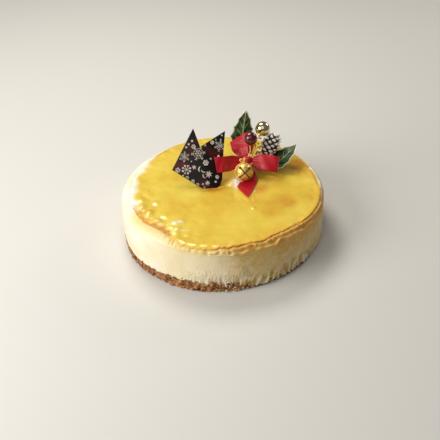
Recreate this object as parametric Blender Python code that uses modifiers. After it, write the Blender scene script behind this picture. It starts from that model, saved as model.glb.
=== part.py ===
# Baked cheesecake, 15 cm across: a crumb base under a plain baked cheese body, with a chocolate
# plaque and a bow ornament on a pick standing in its top. Metres, +Z up. The origin is the middle
# of the crumb base's underside, and -Y is the side that the plaque and the bow face.

import math

import bmesh
import bpy
from mathutils import Matrix, Vector, noise

# Cake
CAKE_RADIUS = 0.075
OUT_OF_ROUND = 0.0030        # added to the radius towards front left and back right
LEAN = -0.036                # sideways shift of the cake for each metre of height
BASE_PROUD = 0.0010          # how far the crumb base stands out past the cheese
CAKE_HEIGHT = 0.0365         # in the middle, the left rim is higher and the right one lower
TOP_SLOPE = -0.028           # rise of the top for each metre towards +X
BASE_HEIGHT = 0.0080         # crumb layer under the cheese
BASE_EDGE_LOW = 0.0024       # crumb layer left in sight at front right, where cheese ran down
SHOULDER_WIDTH = 0.0056
SHOULDER_DROP = 0.0036
GAP = 0.0003                 # between pieces that touch
TURN_STEPS = 144             # facets round the cake

# Chocolate plaque, stuck in the top and leaning back
PLAQUE_FOOT = Vector((-0.0110, 0.0003, 0.0368))
PLAQUE_YAW = math.radians(12)
PLAQUE_LEAN = math.radians(55)
PLAQUE_THICKNESS = 0.0018
PLAQUE_DEPTH = 0.0032        # how deep its foot stands in the cheese
PLAQUE_FOOT_HALF = 0.0058
PLAQUE_FOOT_SIDE = -0.0010

# Bow ornament
KNOT = Vector((0.0162, 0.0210, 0.0475))
KNOT_RADII = Vector((0.0042, 0.0032, 0.0032))
RIBBON_WIDTH = 0.0120
RIBBON_THICKNESS = 0.0005
PICK_RADIUS = 0.0011
PICK_DEPTH = 0.0045
WIRE_RADIUS = 0.00055
BACK_LOOP_WIDTH = 0.0145     # wider in sight, as its end is folded over askew
BELL_CENTRE = Vector((0.0137, 0.0098, 0.0445))
BELL_RADIUS = 0.0068
BELL_SEAM = 0.0003           # how far the seam round its middle stands out
BELL_AXIS = Vector((0.10, -0.80, 0.36)).normalized()
BELL_SLOT_WIDTH = 0.0010
BELL_SLOT_DEPTH = 0.0034     # from the middle of the bell to the bottom of its slots
BALL_CENTRE = Vector((0.0283, 0.0410, 0.0634))
BALL_RADIUS = 0.0058
BERRY_CENTRE = Vector((0.0186, 0.0260, 0.0638))
BERRY_RADIUS = 0.0051
CONE_CENTRE = Vector((0.0343, 0.0367, 0.0515))
CONE_AXIS = Vector((0.52, 0.50, 0.70)).normalized()
CONE_LENGTH = 0.0195
CONE_RADIUS = 0.0057         # of its core, the scales reach about 2 mm further
CONE_SCALES = 44
LEAF_SCALLOP = 0.17          # how deep the edge of a leaf curves in between its spines

# What is up for somebody in front of the cake who looks down at it
SIGHT_UP = Vector((0, math.sin(math.radians(36)), math.cos(math.radians(36))))


# Collections and plain helpers

def new_collection(name):
    collection = bpy.data.collections.new(name)
    bpy.context.scene.collection.children.link(collection)
    return collection


for old in list(bpy.data.objects):
    bpy.data.objects.remove(old)
CAKE = new_collection("baked_cheesecake")
CUTTERS = new_collection("cutters")


def hex_colour(text):
    """Linear colour from an sRGB hex value."""
    channels = [int(text[i:i + 2], 16) / 255 for i in (0, 2, 4)]
    linear = [c / 12.92 if c <= 0.04045 else ((c + 0.055) / 1.055) ** 2.4 for c in channels]
    return (*linear, 1.0)


def material(name, colour, roughness, metallic=0.0):
    made = bpy.data.materials.new(name)
    made.use_nodes = True
    shader = made.node_tree.nodes["Principled BSDF"]
    shader.inputs["Base Color"].default_value = hex_colour(colour)
    shader.inputs["Roughness"].default_value = roughness
    shader.inputs["Metallic"].default_value = metallic
    return made


def add_object(name, mesh, surface=None, collection=None):
    made = bpy.data.objects.new(name, mesh)
    (collection or CAKE).objects.link(made)
    if surface:
        mesh.materials.clear()
        mesh.materials.append(surface)
    return made


def mesh_from(name, bm, smooth=True):
    mesh = bpy.data.meshes.new(name)
    bm.to_mesh(mesh)
    bm.free()
    if smooth:
        mesh.shade_smooth()
        mesh.set_sharp_from_angle(angle=math.radians(40))
    return mesh


def evaluated_mesh(made):
    """The object's mesh as its modifiers or its curve leave it, with its open caps welded."""
    bpy.context.view_layer.update()
    graph = bpy.context.evaluated_depsgraph_get()
    mesh = bpy.data.meshes.new_from_object(made.evaluated_get(graph))
    bm = bmesh.new()
    bm.from_mesh(mesh)
    bmesh.ops.remove_doubles(bm, verts=bm.verts, dist=1e-6)
    bmesh.ops.recalc_face_normals(bm, faces=bm.faces)
    bm.to_mesh(mesh)
    bm.free()
    return mesh


def to_mesh_object(made, surface):
    """Replaces a curve or a modified object by its plain mesh."""
    name = made.name
    mesh = evaluated_mesh(made)
    place = made.matrix_world.copy()
    bpy.data.objects.remove(made)
    result = add_object(name, mesh, surface)
    result.matrix_world = place
    mesh.name = name
    return result


def smoothstep(value, low, high):
    t = min(1.0, max(0.0, (value - low) / (high - low)))
    return t * t * (3 - 2 * t)


def axes(x_axis, y_hint, origin):
    """Matrix with its X along x_axis, its Y as near y_hint as can be, and its Z as normal."""
    x_axis = x_axis.normalized()
    y_axis = (y_hint - x_axis * y_hint.dot(x_axis)).normalized()
    turn = Matrix((x_axis, y_axis, x_axis.cross(y_axis))).transposed().to_4x4()
    return Matrix.Translation(origin) @ turn


def turn_to(direction, origin):
    """Matrix whose Z points in a direction."""
    return Matrix.Translation(origin) @ direction.to_track_quat("Z", "Y").to_matrix().to_4x4()


def top_height(x):
    return CAKE_HEIGHT + TOP_SLOPE * x


# Cake: two turned bodies that share their facets and the surface between them

def bearing(x, y):
    return math.degrees(math.atan2(y, x)) % 360


def window(angle, start, end, soft):
    """1 between two bearings in degrees, falling to 0 over soft degrees outside them."""
    middle, half = (start + end) / 2, (end - start) / 2
    away = abs((angle - middle + 180) % 360 - 180)
    return 1 - smoothstep(away, half, half + soft)


def crumb_edge(angle):
    """Height of the crumb layer at the cake's side: craggy, and low where cheese ran down it."""
    a = math.radians(angle)
    crag = noise.noise(Vector((9 * math.cos(a), 9 * math.sin(a), 3.1)))
    crag += 0.6 * noise.noise(Vector((25 * math.cos(a), 25 * math.sin(a), 7.7)))
    covered = window(angle, 288, 352, 16)
    plain = BASE_HEIGHT + 0.0011 * crag
    low = BASE_EDGE_LOW + 0.0007 * crag
    return plain + (low - plain) * covered


def between_height(radius, angle):
    """Height of the surface between crumb and cheese."""
    t = smoothstep(radius, 0.066, 0.0715)
    return BASE_HEIGHT + (crumb_edge(angle) - BASE_HEIGHT) * t


def turned(name, profile, steps):
    """A body turned from a profile that runs down its outside, from the axis to the axis."""
    mesh = bpy.data.meshes.new(name + "_profile")
    points = [(radius, 0.0, height) for radius, height in profile]
    mesh.from_pydata(points, [(i, i + 1) for i in range(len(points) - 1)], [])
    made = add_object(name, mesh, collection=CUTTERS)
    screw = made.modifiers.new("turn", "SCREW")
    screw.steps = screw.render_steps = steps
    screw.use_merge_vertices = True
    screw.merge_threshold = 0.00001
    result = evaluated_mesh(made)
    bpy.data.objects.remove(made)
    return result


def shape(mesh, place):
    """Moves every vertex by a rule that takes its nominal radius, bearing and height."""
    bm = bmesh.new()
    bm.from_mesh(mesh)
    for vertex in bm.verts:
        x, y, z = vertex.co
        radius, angle = math.hypot(x, y), bearing(x, y)
        radius, z = place(radius, angle, z)
        a = math.radians(angle)
        radius *= 1 + OUT_OF_ROUND / CAKE_RADIUS * math.sin(2 * a)
        vertex.co = (radius * math.cos(a) + LEAN * z, radius * math.sin(a), z)
    bmesh.ops.triangulate(bm, faces=bm.faces, quad_method="SHORT_EDGE")
    bm.to_mesh(mesh)
    bm.free()
    mesh.shade_smooth()
    mesh.set_sharp_from_angle(angle=math.radians(50))


INNER_RINGS = (0.0660, 0.0715)
BASE_RADIUS = CAKE_RADIUS + BASE_PROUD


def crumb_base():
    edge = BASE_RADIUS
    rows = 3
    profile = [(0.0, BASE_HEIGHT)] + [(r, BASE_HEIGHT) for r in INNER_RINGS]
    profile += [(edge, BASE_HEIGHT * (1 - 0.9 * i / rows)) for i in range(rows + 1)]
    profile += [(edge - 0.0014, 0.0), (0.0, 0.0)]
    mesh = turned("crumb_base", profile, TURN_STEPS)

    def place(radius, angle, z):
        a = math.radians(angle)
        share = z / BASE_HEIGHT
        if z > 0 and share > 0.999:
            height = between_height(radius, angle)
        else:
            height = share * crumb_edge(angle)
        if radius > edge - 0.0001:
            spot = Vector((30 * math.cos(a), 30 * math.sin(a), 500 * z))
            crag = noise.noise(spot) + 0.5 * noise.noise(spot * 2.3)
            radius += 0.0010 * crag - 0.0012 * window(angle, 288, 352, 16)
        return radius, height

    shape(mesh, place)
    add_object("crumb_base", mesh, material("baked_crumb", "A8672F", 0.9))


def cheese_side(radius, angle, z):
    """Relief of the cheese's side: the liner's upright folds low down at the front right."""
    a = math.radians(angle)
    folds = window(angle, 268, 312, 14) * (1 - smoothstep(z, 0.012, 0.022))
    ripple = noise.noise(Vector((34 * math.cos(a), 34 * math.sin(a), 40 * z)))
    slow = noise.noise(Vector((3 * math.cos(a), 3 * math.sin(a), 30 * z)))
    belly = window(angle, 155, 210, 30) * math.sin(math.pi * min(1.0, z / CAKE_HEIGHT))
    return radius + 0.0009 * folds * ripple + 0.0004 * slow + 0.0012 * belly


def cheese_filling():
    edge = CAKE_RADIUS
    start = edge - SHOULDER_WIDTH
    profile = [(0.0, CAKE_HEIGHT), (0.040, CAKE_HEIGHT), (0.062, CAKE_HEIGHT)]
    for i in range(4):
        phi = math.radians(90 * i / 3)
        profile.append((start + SHOULDER_WIDTH * math.sin(phi),
                        CAKE_HEIGHT - SHOULDER_DROP * (1 - math.cos(phi))))
    profile += [(edge + 0.0002, 0.0240), (edge, 0.0150), (edge - 0.0002, BASE_HEIGHT + 0.0001)]
    profile += [(r, BASE_HEIGHT) for r in reversed(INNER_RINGS)] + [(0.0, BASE_HEIGHT)]
    mesh = turned("cheese_filling", profile, TURN_STEPS)

    def place(radius, angle, z):
        a = math.radians(angle)
        x = radius * math.cos(a)
        if z < BASE_HEIGHT + 0.0002:
            height = between_height(radius, angle) + GAP
            return (cheese_side(radius, angle, z) if radius > 0.074 else radius), height
        if z < 0.030:
            low = crumb_edge(angle) + GAP
            height = low + (z - BASE_HEIGHT) / (0.030 - BASE_HEIGHT) * (0.030 - low)
            return cheese_side(radius, angle, z), height + TOP_SLOPE * x * z / CAKE_HEIGHT
        widen = 1 + 0.33 * math.cos(a - math.radians(190))
        if radius > start - 0.0001:
            radius = edge - (edge - radius) * widen
        lip = window(angle, 285, 350, 25) * math.exp(-((radius - 0.0712) / 0.0020) ** 2)
        bumps = noise.noise(Vector((14 * math.cos(a), 14 * math.sin(a), 200 * radius)))
        height = z + 0.0005 * lip + 0.00035 * bumps * smoothstep(radius, 0.058, 0.068)
        return radius, height + TOP_SLOPE * x

    shape(mesh, place)
    made = add_object("cheese_filling", mesh, material("baked_cheese", "F2E4B4", 0.55))
    for cutter in (plaque_slot(), pick_hole()):
        cut = made.modifiers.new(cutter.name, "BOOLEAN")
        cut.operation = "DIFFERENCE"
        cut.object = cutter


def at_knot(x, y, z):
    """The point just off the knot's surface in a direction from its middle."""
    way = Vector((x, y, z)).normalized()
    reach = 1 / math.sqrt(sum((way[i] / KNOT_RADII[i]) ** 2 for i in range(3)))
    return KNOT + way * (reach + 1.5 * GAP)


# Cutters

def as_cutter(made):
    made.hide_render = True
    made.display_type = "WIRE"
    return made


def plaque_matrix():
    along = Vector((math.cos(PLAQUE_YAW), math.sin(PLAQUE_YAW), 0))
    front = Vector((math.sin(PLAQUE_YAW), -math.cos(PLAQUE_YAW), 0))
    normal = front * math.sin(PLAQUE_LEAN) + Vector((0, 0, 1)) * math.cos(PLAQUE_LEAN)
    return axes(along, normal.cross(along), PLAQUE_FOOT)


def plaque_slot():
    bm = bmesh.new()
    bmesh.ops.create_cube(bm, size=1)
    depth, above = PLAQUE_DEPTH + GAP, 0.006
    size = (2 * (PLAQUE_FOOT_HALF + GAP), depth + above, PLAQUE_THICKNESS + 2 * GAP)
    bmesh.ops.scale(bm, vec=size, verts=bm.verts)
    bmesh.ops.translate(bm, vec=(PLAQUE_FOOT_SIDE, (above - depth) / 2, 0), verts=bm.verts)
    bmesh.ops.transform(bm, matrix=plaque_matrix(), verts=bm.verts)
    return as_cutter(add_object("plaque_slot", mesh_from("plaque_slot", bm, False),
                                collection=CUTTERS))


def pick_foot():
    return top_height(KNOT.x) - PICK_DEPTH


def rod(name, radius, low, high, sides, surface=None, collection=None):
    bm = bmesh.new()
    bmesh.ops.create_cone(bm, segments=sides, radius1=radius, radius2=radius,
                          depth=high - low, cap_ends=True)
    bmesh.ops.translate(bm, vec=(KNOT.x, KNOT.y, (low + high) / 2), verts=bm.verts)
    return add_object(name, mesh_from(name, bm), surface, collection)


def pick_hole():
    low = pick_foot() - GAP
    return as_cutter(rod("pick_hole", PICK_RADIUS + GAP, low, KNOT.z, 16, collection=CUTTERS))


# Chocolate plaque

def chocolate_plaque():
    outline = [(-0.0275, 0.0159), (-0.0083, 0.0449), (-0.0047, 0.0307), (0.0155, 0.0406),
               (0.0127, 0.0266), (0.0109, 0.0154), (0.0091, 0.0051), (0.0076, 0.0022)]
    left, right = PLAQUE_FOOT_SIDE - PLAQUE_FOOT_HALF, PLAQUE_FOOT_SIDE + PLAQUE_FOOT_HALF
    outline += [(right, 0.0011), (right, -PLAQUE_DEPTH), (left, -PLAQUE_DEPTH), (left, 0.0011)]
    curve = bpy.data.curves.new("chocolate_plaque", "CURVE")
    curve.dimensions = "2D"
    curve.fill_mode = "BOTH"
    curve.extrude = PLAQUE_THICKNESS / 2
    spline = curve.splines.new("POLY")
    spline.points.add(len(outline) - 1)
    spline.use_cyclic_u = True
    for point, (x, y) in zip(spline.points, outline):
        point.co = (x, y, 0, 1)
    made = add_object("chocolate_plaque", curve)
    made.matrix_world = plaque_matrix()
    to_mesh_object(made, material("dark_chocolate", "2A1A14", 0.3))


# Sheets: a flat grid that a function bends, given its thickness afterwards

def sheet(name, bend, columns, rows, thickness, surface):
    """bend takes u from 0 to 1 along the sheet and v from -1 to 1 across it."""
    bm = bmesh.new()
    bmesh.ops.create_grid(bm, x_segments=columns, y_segments=rows, size=0.5)
    for vertex in bm.verts:
        vertex.co = bend(vertex.co.x + 0.5, 2 * vertex.co.y)
    bmesh.ops.triangulate(bm, faces=bm.faces, quad_method="FIXED")
    made = add_object(name, mesh_from(name, bm), surface)
    solid = made.modifiers.new("thickness", "SOLIDIFY")
    solid.thickness = thickness
    solid.offset = 0
    return made


def path_point(points, u):
    """Catmull-Rom point at u from 0 to 1 along a list of vectors."""
    spans = len(points) - 1
    i = min(int(u * spans), spans - 1)
    t = u * spans - i
    p1, p2 = points[i], points[i + 1]
    p0 = points[i - 1] if i else p1 * 2 - p2
    p3 = points[i + 2] if i + 2 <= spans else p2 * 2 - p1
    return 0.5 * (2 * p1 + (p2 - p0) * t + (2 * p0 - 5 * p1 + 4 * p2 - p3) * t ** 2
                  + (3 * p1 - p0 - 3 * p2 + p3) * t ** 3)


def ribbon_loop(name, direction, across, length, swell, width, spread, surface, splay=0.0):
    """A ribbon that leaves the knot, folds over at its end and comes back, pinched at the knot.
    splay is how far its first layer lies to the side of its second one."""
    frame = axes(direction, across, KNOT)
    opening = 0.85

    def bend(u, v):
        phi = opening + (2 * math.pi - 2 * opening) * u
        reach = (1 - math.cos(phi)) / 2
        swing = math.sin(phi) * math.sin(phi / 2)
        half = width / 2 * (0.52 + 0.48 * smoothstep(reach, 0.12, spread))
        crown = 1 - 0.10 * v * v * (1 - reach)
        aside = splay * max(0.0, swing)
        return frame @ Vector((length * reach, v * half + aside, swell * swing * crown))

    return sheet(name, bend, 20, 2, RIBBON_THICKNESS, surface)


def ribbon_tail(name, middle, sides, slant, pinched, surface):
    """A ribbon's free end: sides holds the direction of its width along the way."""
    def bend(u, v):
        pinch = pinched + (1 - pinched) * smoothstep(u, 0.0, 0.35)
        along = u + slant * v * smoothstep(u, 0.3, 1.0)
        width = path_point(sides, u).normalized() * RIBBON_WIDTH / 2 * pinch
        return path_point(middle, min(max(along, 0.0), 1.1)) + v * width

    return sheet(name, bend, 12, 2, RIBBON_THICKNESS, surface)


def holly_leaf(name, midrib, across, width, pointed, surface):
    """A holly leaf with three spines a side, cupped along its midrib, on a thin bent stalk.
    pointed is 1 for a leaf that narrows all the way to its tip, and 0 for an oval one."""
    columns, stalk_columns, span = 24, 4, 5
    stalk = 2 / (len(midrib) - 1)

    def half_width(column):
        if column <= stalk_columns:
            return 0.0006
        t = (column - stalk_columns) / (columns - stalk_columns)
        spine = (column - stalk_columns) % span / span
        oval = math.sin(math.pi * min(1.0, 0.10 + 0.90 * t) ** 0.85)
        oval = max(0.0, oval) ** 0.75
        arrow = min(0.97, 1.25 * (1 - t) ** 0.65) * smoothstep(t, -0.10, 0.16)
        scallop = 1 - LEAF_SCALLOP * math.sin(math.pi * spine) ** 0.7 if spine else 1.0
        return max(0.0005, width / 2 * (oval + (arrow - oval) * pointed) * scallop)

    def bend(u, v):
        column = round(u * columns)
        if column <= stalk_columns:
            along = column / stalk_columns * stalk
        else:
            along = stalk + (1 - stalk) * (column - stalk_columns) / (columns - stalk_columns)
        half = half_width(column)
        point = path_point(midrib, along)
        ahead = path_point(midrib, min(along + 0.02, 1.0)) - path_point(midrib, along - 0.02)
        frame = axes(ahead, across, point)
        wave = 0.0008 * math.sin(12 * along) * v * v * smoothstep(along, stalk, 1.0)
        return frame @ Vector((0, v * half, 0.18 * abs(v) * half + wave))

    return sheet(name, bend, columns, 4, 0.0006, surface)


# Small round pieces

def ball(name, centre, radius, segments, rings, surface, squash=(1, 1, 1)):
    bm = bmesh.new()
    bmesh.ops.create_uvsphere(bm, u_segments=segments, v_segments=rings, radius=radius)
    bmesh.ops.scale(bm, vec=squash, verts=bm.verts)
    bmesh.ops.translate(bm, vec=centre, verts=bm.verts)
    return add_object(name, mesh_from(name, bm), surface)


def wire(name, points, radius, surface, steps=4):
    """A wire through points, as a curve with a round bevel and closed ends."""
    vectors = [Vector(p) for p in points]
    count = (len(vectors) - 1) * steps
    curve = bpy.data.curves.new(name, "CURVE")
    curve.dimensions = "3D"
    curve.bevel_depth = radius
    curve.bevel_resolution = 1
    curve.use_fill_caps = True
    spline = curve.splines.new("POLY")
    spline.points.add(count)
    for i, point in enumerate(spline.points):
        point.co = (*path_point(vectors, i / count), 1)
    return to_mesh_object(add_object(name, curve), surface)


def curly_wire(surface):
    """A gilt wire that rises from the knot, curls twice and ends under the gold ball."""
    start, low = at_knot(4.0, 2.0, 1.8), Vector((0.0228, 0.0300, 0.0550))
    toward = (BALL_CENTRE - low).normalized()
    high = BALL_CENTRE - toward * (BALL_RADIUS + 2.5 * GAP)
    frame = turn_to(toward, Vector((0, 0, 0)))
    turns, count, radius = 2, 26, 0.0020
    points = [start, (start + low) / 2 + Vector((0.0003, -0.0003, 0))]
    for i in range(count + 1):
        u = i / count
        curl = radius * math.sin(math.pi * u) ** 0.5 if 0 < i < count else 0.0
        angle = 2 * math.pi * turns * u
        swing = frame @ Vector((curl * math.cos(angle), curl * math.sin(angle), 0))
        points.append(low + (high - low) * u + swing)
    return wire("gold_wire_ball", points, WIRE_RADIUS, surface, steps=1)


def bell(surface):
    """A round bell with a raised seam and a cross of slots in its mouth."""
    place = turn_to(BELL_AXIS, BELL_CENTRE)
    seam = BELL_RADIUS + BELL_SEAM
    rows = 6
    upper = [(BELL_RADIUS * math.sin(math.pi / 2 * i / rows),
              BELL_RADIUS * math.cos(math.pi / 2 * i / rows)) for i in range(rows)]
    upper += [(BELL_RADIUS, 2 * BELL_SEAM), (seam, 1.3 * BELL_SEAM)]
    mesh = turned("bell", upper + [(radius, -height) for radius, height in reversed(upper)], 20)
    mesh.transform(place)
    mesh.shade_smooth()
    mesh.set_sharp_from_angle(angle=math.radians(40))
    made = add_object("bell", mesh, surface)
    for i in range(2):
        cut = made.modifiers.new("slot", "BOOLEAN")
        cut.operation = "DIFFERENCE"
        cut.object = bell_slot(i, place)


def bell_slot(index, place):
    bm = bmesh.new()
    bmesh.ops.create_cube(bm, size=1)
    size = (1.45 * BELL_RADIUS, BELL_SLOT_WIDTH, BELL_RADIUS)
    bmesh.ops.scale(bm, vec=size, verts=bm.verts)
    bmesh.ops.translate(bm, vec=(0, 0, BELL_SLOT_DEPTH + BELL_RADIUS / 2), verts=bm.verts)
    spin = place @ Matrix.Rotation(math.radians(40 + 90 * index), 4, "Z")
    bmesh.ops.transform(bm, matrix=spin, verts=bm.verts)
    name = f"bell_slot_{index}"
    return as_cutter(add_object(name, mesh_from(name, bm, False), collection=CUTTERS))


def bell_ring(surface):
    """The bell's hanger, a small ring between the bell and the knot."""
    bpy.ops.mesh.primitive_torus_add(major_segments=16, minor_segments=6, major_radius=0.0014,
                                     minor_radius=0.0004)
    made = bpy.context.object
    made.name = "bell_ring"
    made.data.name = "bell_ring"
    for collection in list(made.users_collection):
        collection.objects.unlink(made)
    CAKE.objects.link(made)
    place = turn_to(Vector((1, 0.35, 0)).normalized(),
                    BELL_CENTRE + SIGHT_UP * (BELL_RADIUS + 0.0018 + GAP))
    made.data.transform(place)
    made.data.materials.append(surface)
    made.data.shade_smooth()


def pine_cone(surface):
    """A small cone: a core with its scales set round it in a spiral and fused to it."""
    place = turn_to(CONE_AXIS, CONE_CENTRE)
    half = 0.44 * CONE_LENGTH
    core = ball("pine_cone", Vector((0, 0, 0)), CONE_RADIUS, 12, 8, surface,
                squash=(1, 1, half / CONE_RADIUS))
    scales = new_collection("pine_scales")
    for i in range(CONE_SCALES):
        t = (i + 0.5) / CONE_SCALES
        angle = i * math.radians(137.5)
        height = half * (1.86 * t - 0.93)
        girth = CONE_RADIUS * math.sqrt(1 - (height / half) ** 2)
        size = 1.0 - 0.40 * t
        bm = bmesh.new()
        bmesh.ops.create_uvsphere(bm, u_segments=6, v_segments=4, radius=0.001)
        bmesh.ops.scale(bm, vec=(2.1 * size, 1.4 * size, 0.6 * size), verts=bm.verts)
        tilt = Matrix.Rotation(-math.radians(22 + 40 * t), 4, "Y")
        bmesh.ops.transform(bm, matrix=tilt, verts=bm.verts)
        bmesh.ops.translate(bm, vec=(girth + 0.0002, 0, height), verts=bm.verts)
        bmesh.ops.rotate(bm, matrix=Matrix.Rotation(angle, 3, "Z"), verts=bm.verts)
        add_object(f"scale_{i}", mesh_from(f"scale_{i}", bm, False), collection=scales)
    union = core.modifiers.new("fuse", "BOOLEAN")
    union.operation = "UNION"
    union.operand_type = "COLLECTION"
    union.collection = scales
    fused = evaluated_mesh(core)
    for piece in list(scales.objects):
        bpy.data.objects.remove(piece)
    bpy.data.collections.remove(scales)
    bpy.data.objects.remove(core)
    fused.transform(place)
    add_object("pine_cone", fused, surface)


# The bow ornament

def bow():
    red = material("red_satin", "B01226", 0.35)
    gold = material("gold_foil", "D2A545", 0.25, 1.0)
    green = material("holly_green", "2F4A1C", 0.45)
    brown = material("cone_brown", "4A3226", 0.7)

    rod("ornament_pick", PICK_RADIUS, pick_foot(), KNOT.z - KNOT_RADII.z - GAP, 12, gold)
    ball("ribbon_knot", KNOT, 1.0, 16, 8, red, squash=KNOT_RADII)

    ribbon_loop("ribbon_loop_right", Vector((0.0250, -0.0030, -0.0020)), SIGHT_UP, 0.0242, 0.0050,
                RIBBON_WIDTH, 0.42, red)
    ribbon_loop("ribbon_loop_back", Vector((-0.0068, 0.0165, 0.0102)),
                Vector((0.0122, 0.0, 0.0100)), 0.0205, 0.0036, BACK_LOOP_WIDTH, 0.60, red,
                splay=0.0042)

    left = [at_knot(-5.0, -1.2, -0.2), KNOT + Vector((-0.0122, -0.0073, 0.0018)),
            KNOT + Vector((-0.0182, -0.0116, 0.0037)), KNOT + Vector((-0.0238, -0.0134, 0.0043))]
    ribbon_tail("ribbon_tail_left", left, [SIGHT_UP + Vector((0.1, 0, 0))] * 4, 0.10, 0.62, red)

    on_top = top_height(KNOT.x) + GAP + RIBBON_THICKNESS / 2
    front = [at_knot(1.6, -3.6, -3.0) + Vector((0.0004, -0.0006, -0.0006)),
             Vector((0.0187, 0.0138, 0.0388)),
             Vector((0.0180, 0.0095, on_top + 0.0003)), Vector((0.0159, 0.0025, on_top + 0.0002)),
             Vector((0.0124, -0.0073, on_top + 0.0009))]
    flat, turned_up = Vector((0.96, -0.27, -0.028)), Vector((0.93, -0.30, -0.12))
    ribbon_tail("ribbon_tail_front", front, [flat, flat, flat, flat, turned_up], 0.12, 0.50, red)

    holly_leaf("holly_leaf_back",
               [at_knot(-0.5, 4.5, -0.6), Vector((0.0135, 0.0330, 0.0460)),
                Vector((0.0123, 0.0400, 0.0485)), Vector((0.0130, 0.0420, 0.0575)),
                Vector((0.0142, 0.0440, 0.0675)), Vector((0.0153, 0.0450, 0.0771))],
               Vector((1, 0.05, 0.05)), 0.0200, 1.0, green)
    holly_leaf("holly_leaf_right",
               [at_knot(3.2, 3.2, -2.8), Vector((0.0285, 0.0275, 0.0397)),
                Vector((0.0352, 0.0276, 0.0386)), Vector((0.0415, 0.0300, 0.0412)),
                Vector((0.0480, 0.0335, 0.0459)), Vector((0.0544, 0.0380, 0.0513))],
               Vector((-0.30, 0.93, 0.14)), 0.0205, 0.0, green)

    berry_way = (KNOT + Vector((0.0012, 0.0004, 0.0050)) - BERRY_CENTRE).normalized()
    berry_end = BERRY_CENTRE + berry_way * (BERRY_RADIUS + 1.5 * GAP)
    wire("gold_wire_berry", [at_knot(0.9, 0.5, 3.6), Vector((0.0186, 0.0226, 0.0548)), berry_end],
         WIRE_RADIUS, gold)
    cone_end = CONE_CENTRE - CONE_AXIS * (0.46 * CONE_LENGTH + GAP)
    wire("cone_wire", [at_knot(4.4, 3.2, -0.4), Vector((0.0255, 0.0296, 0.0448)), cone_end],
         WIRE_RADIUS, brown)
    curly_wire(gold)
    foil = [Vector((0.0243, 0.0262, 0.0488)), Vector((0.0252, 0.0261, 0.0525)),
            Vector((0.0262, 0.0266, 0.0568))]
    sheet("gold_foil_strip",
          lambda u, v: path_point(foil, u) + Vector((0.0020 * v, 0.0006 * math.sin(9 * u), 0)),
          8, 1, 0.0003, gold)

    bell(gold)
    bell_ring(gold)
    ball("gold_ball", BALL_CENTRE, BALL_RADIUS, 20, 12, gold)
    ball("red_berry", BERRY_CENTRE, BERRY_RADIUS, 20, 12, material("berry_red", "5A0A14", 0.12))
    pine_cone(brown)


def main():
    crumb_base()
    cheese_filling()
    chocolate_plaque()
    bow()


main()
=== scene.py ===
# The finished look of a baked cheesecake: a glazed top, a crumb base, a printed chocolate plaque
# and a bow ornament with a bell, a cone, a ball, a berry and holly. Metres, +Z up, front at -Y.
import math
import random
from contextlib import contextmanager

import bpy
from mathutils import Matrix, Vector, noise


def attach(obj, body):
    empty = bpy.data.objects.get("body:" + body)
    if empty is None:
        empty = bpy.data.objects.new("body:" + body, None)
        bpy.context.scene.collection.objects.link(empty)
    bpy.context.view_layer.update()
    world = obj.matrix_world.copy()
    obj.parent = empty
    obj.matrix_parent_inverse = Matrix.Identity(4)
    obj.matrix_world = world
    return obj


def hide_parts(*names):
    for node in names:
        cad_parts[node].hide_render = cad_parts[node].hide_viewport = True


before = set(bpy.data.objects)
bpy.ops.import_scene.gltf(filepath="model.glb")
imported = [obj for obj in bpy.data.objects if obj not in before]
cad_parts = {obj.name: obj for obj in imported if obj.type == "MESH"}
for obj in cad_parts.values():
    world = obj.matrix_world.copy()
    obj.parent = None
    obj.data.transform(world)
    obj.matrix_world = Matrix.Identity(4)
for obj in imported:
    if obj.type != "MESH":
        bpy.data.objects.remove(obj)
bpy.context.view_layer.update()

MM = 0.001

# Cake, the same form as its solids have
CAKE_RADIUS = 75.0 * MM
OUT_OF_ROUND = 0.040           # share of the radius added towards front left and back right
LEAN = -0.036                  # sideways shift for each metre of height
CAKE_HEIGHT = 36.5 * MM
TOP_SLOPE = -0.028
BASE_HEIGHT = 8.0 * MM
BASE_EDGE_LOW = 2.4 * MM
BASE_RADIUS = 75.5 * MM
SHOULDER_START = 69.4 * MM
SHOULDER_WIDTH = 5.6 * MM
SHOULDER_DROP = 3.6 * MM
SHOULDER_ARC = 7.4 * MM        # along the surface
SHOULDER_END = SHOULDER_START + SHOULDER_ARC
TURN_STEPS = 640
CRUMB_TURN_STEPS = 720
FLECK_TOAST = 0.45             # how far the loose flecks of cheese are browned
# Bearings in degrees between which the cheese ran down over the crumb layer, and how softly
COVERED = (288, 352, 16)

# Glaze: how far it reaches along the cake's outline from the middle of the top, by bearing
GLAZE_EDGE = (
    (0, 70.8), (6, 69.9), (24, 69.4), (40, 70.0), (70, 71.6), (90, 72.4), (113, 72.2), (128, 71.8),
    (142, 71.0), (156, 70.0), (169, 69.0), (181, 68.4), (191, 68.6), (200, 69.2), (210, 69.6),
    (218, 69.4), (225, 68.0), (230, 67.2), (235, 66.6), (239, 69.2), (243, 71.0), (248, 72.4),
    (254, 73.0), (260, 73.2), (267, 72.4), (272, 71.4), (278, 71.0), (285, 69.6), (292, 70.6),
    (297, 69.4), (303, 68.8), (308, 69.0), (314, 69.2), (321, 69.6), (328, 70.4), (335, 70.9),
    (344, 71.2), (360, 70.8),
)
GLAZE_THICKNESS = 0.9 * MM

# Plaque
PLAQUE_FOOT = Vector((-11.0, 0.3, 36.8)) * MM
PLAQUE_YAW = math.radians(12)
PLAQUE_LEAN = math.radians(55)
PLAQUE_THICKNESS = 1.8 * MM
PRINT_THICKNESS = 0.12 * MM
PLAQUE_OUTLINE = ((-27.5, 15.9), (-8.3, 44.9), (-4.7, 30.7), (15.5, 40.6), (12.7, 26.6),
                  (10.9, 15.4), (9.1, 5.1), (8.0, 2.2), (6.6, 0.2), (4.8, -0.8), (4.8, -3.2),
                  (-6.8, -3.2), (-6.8, -0.1))
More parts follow.
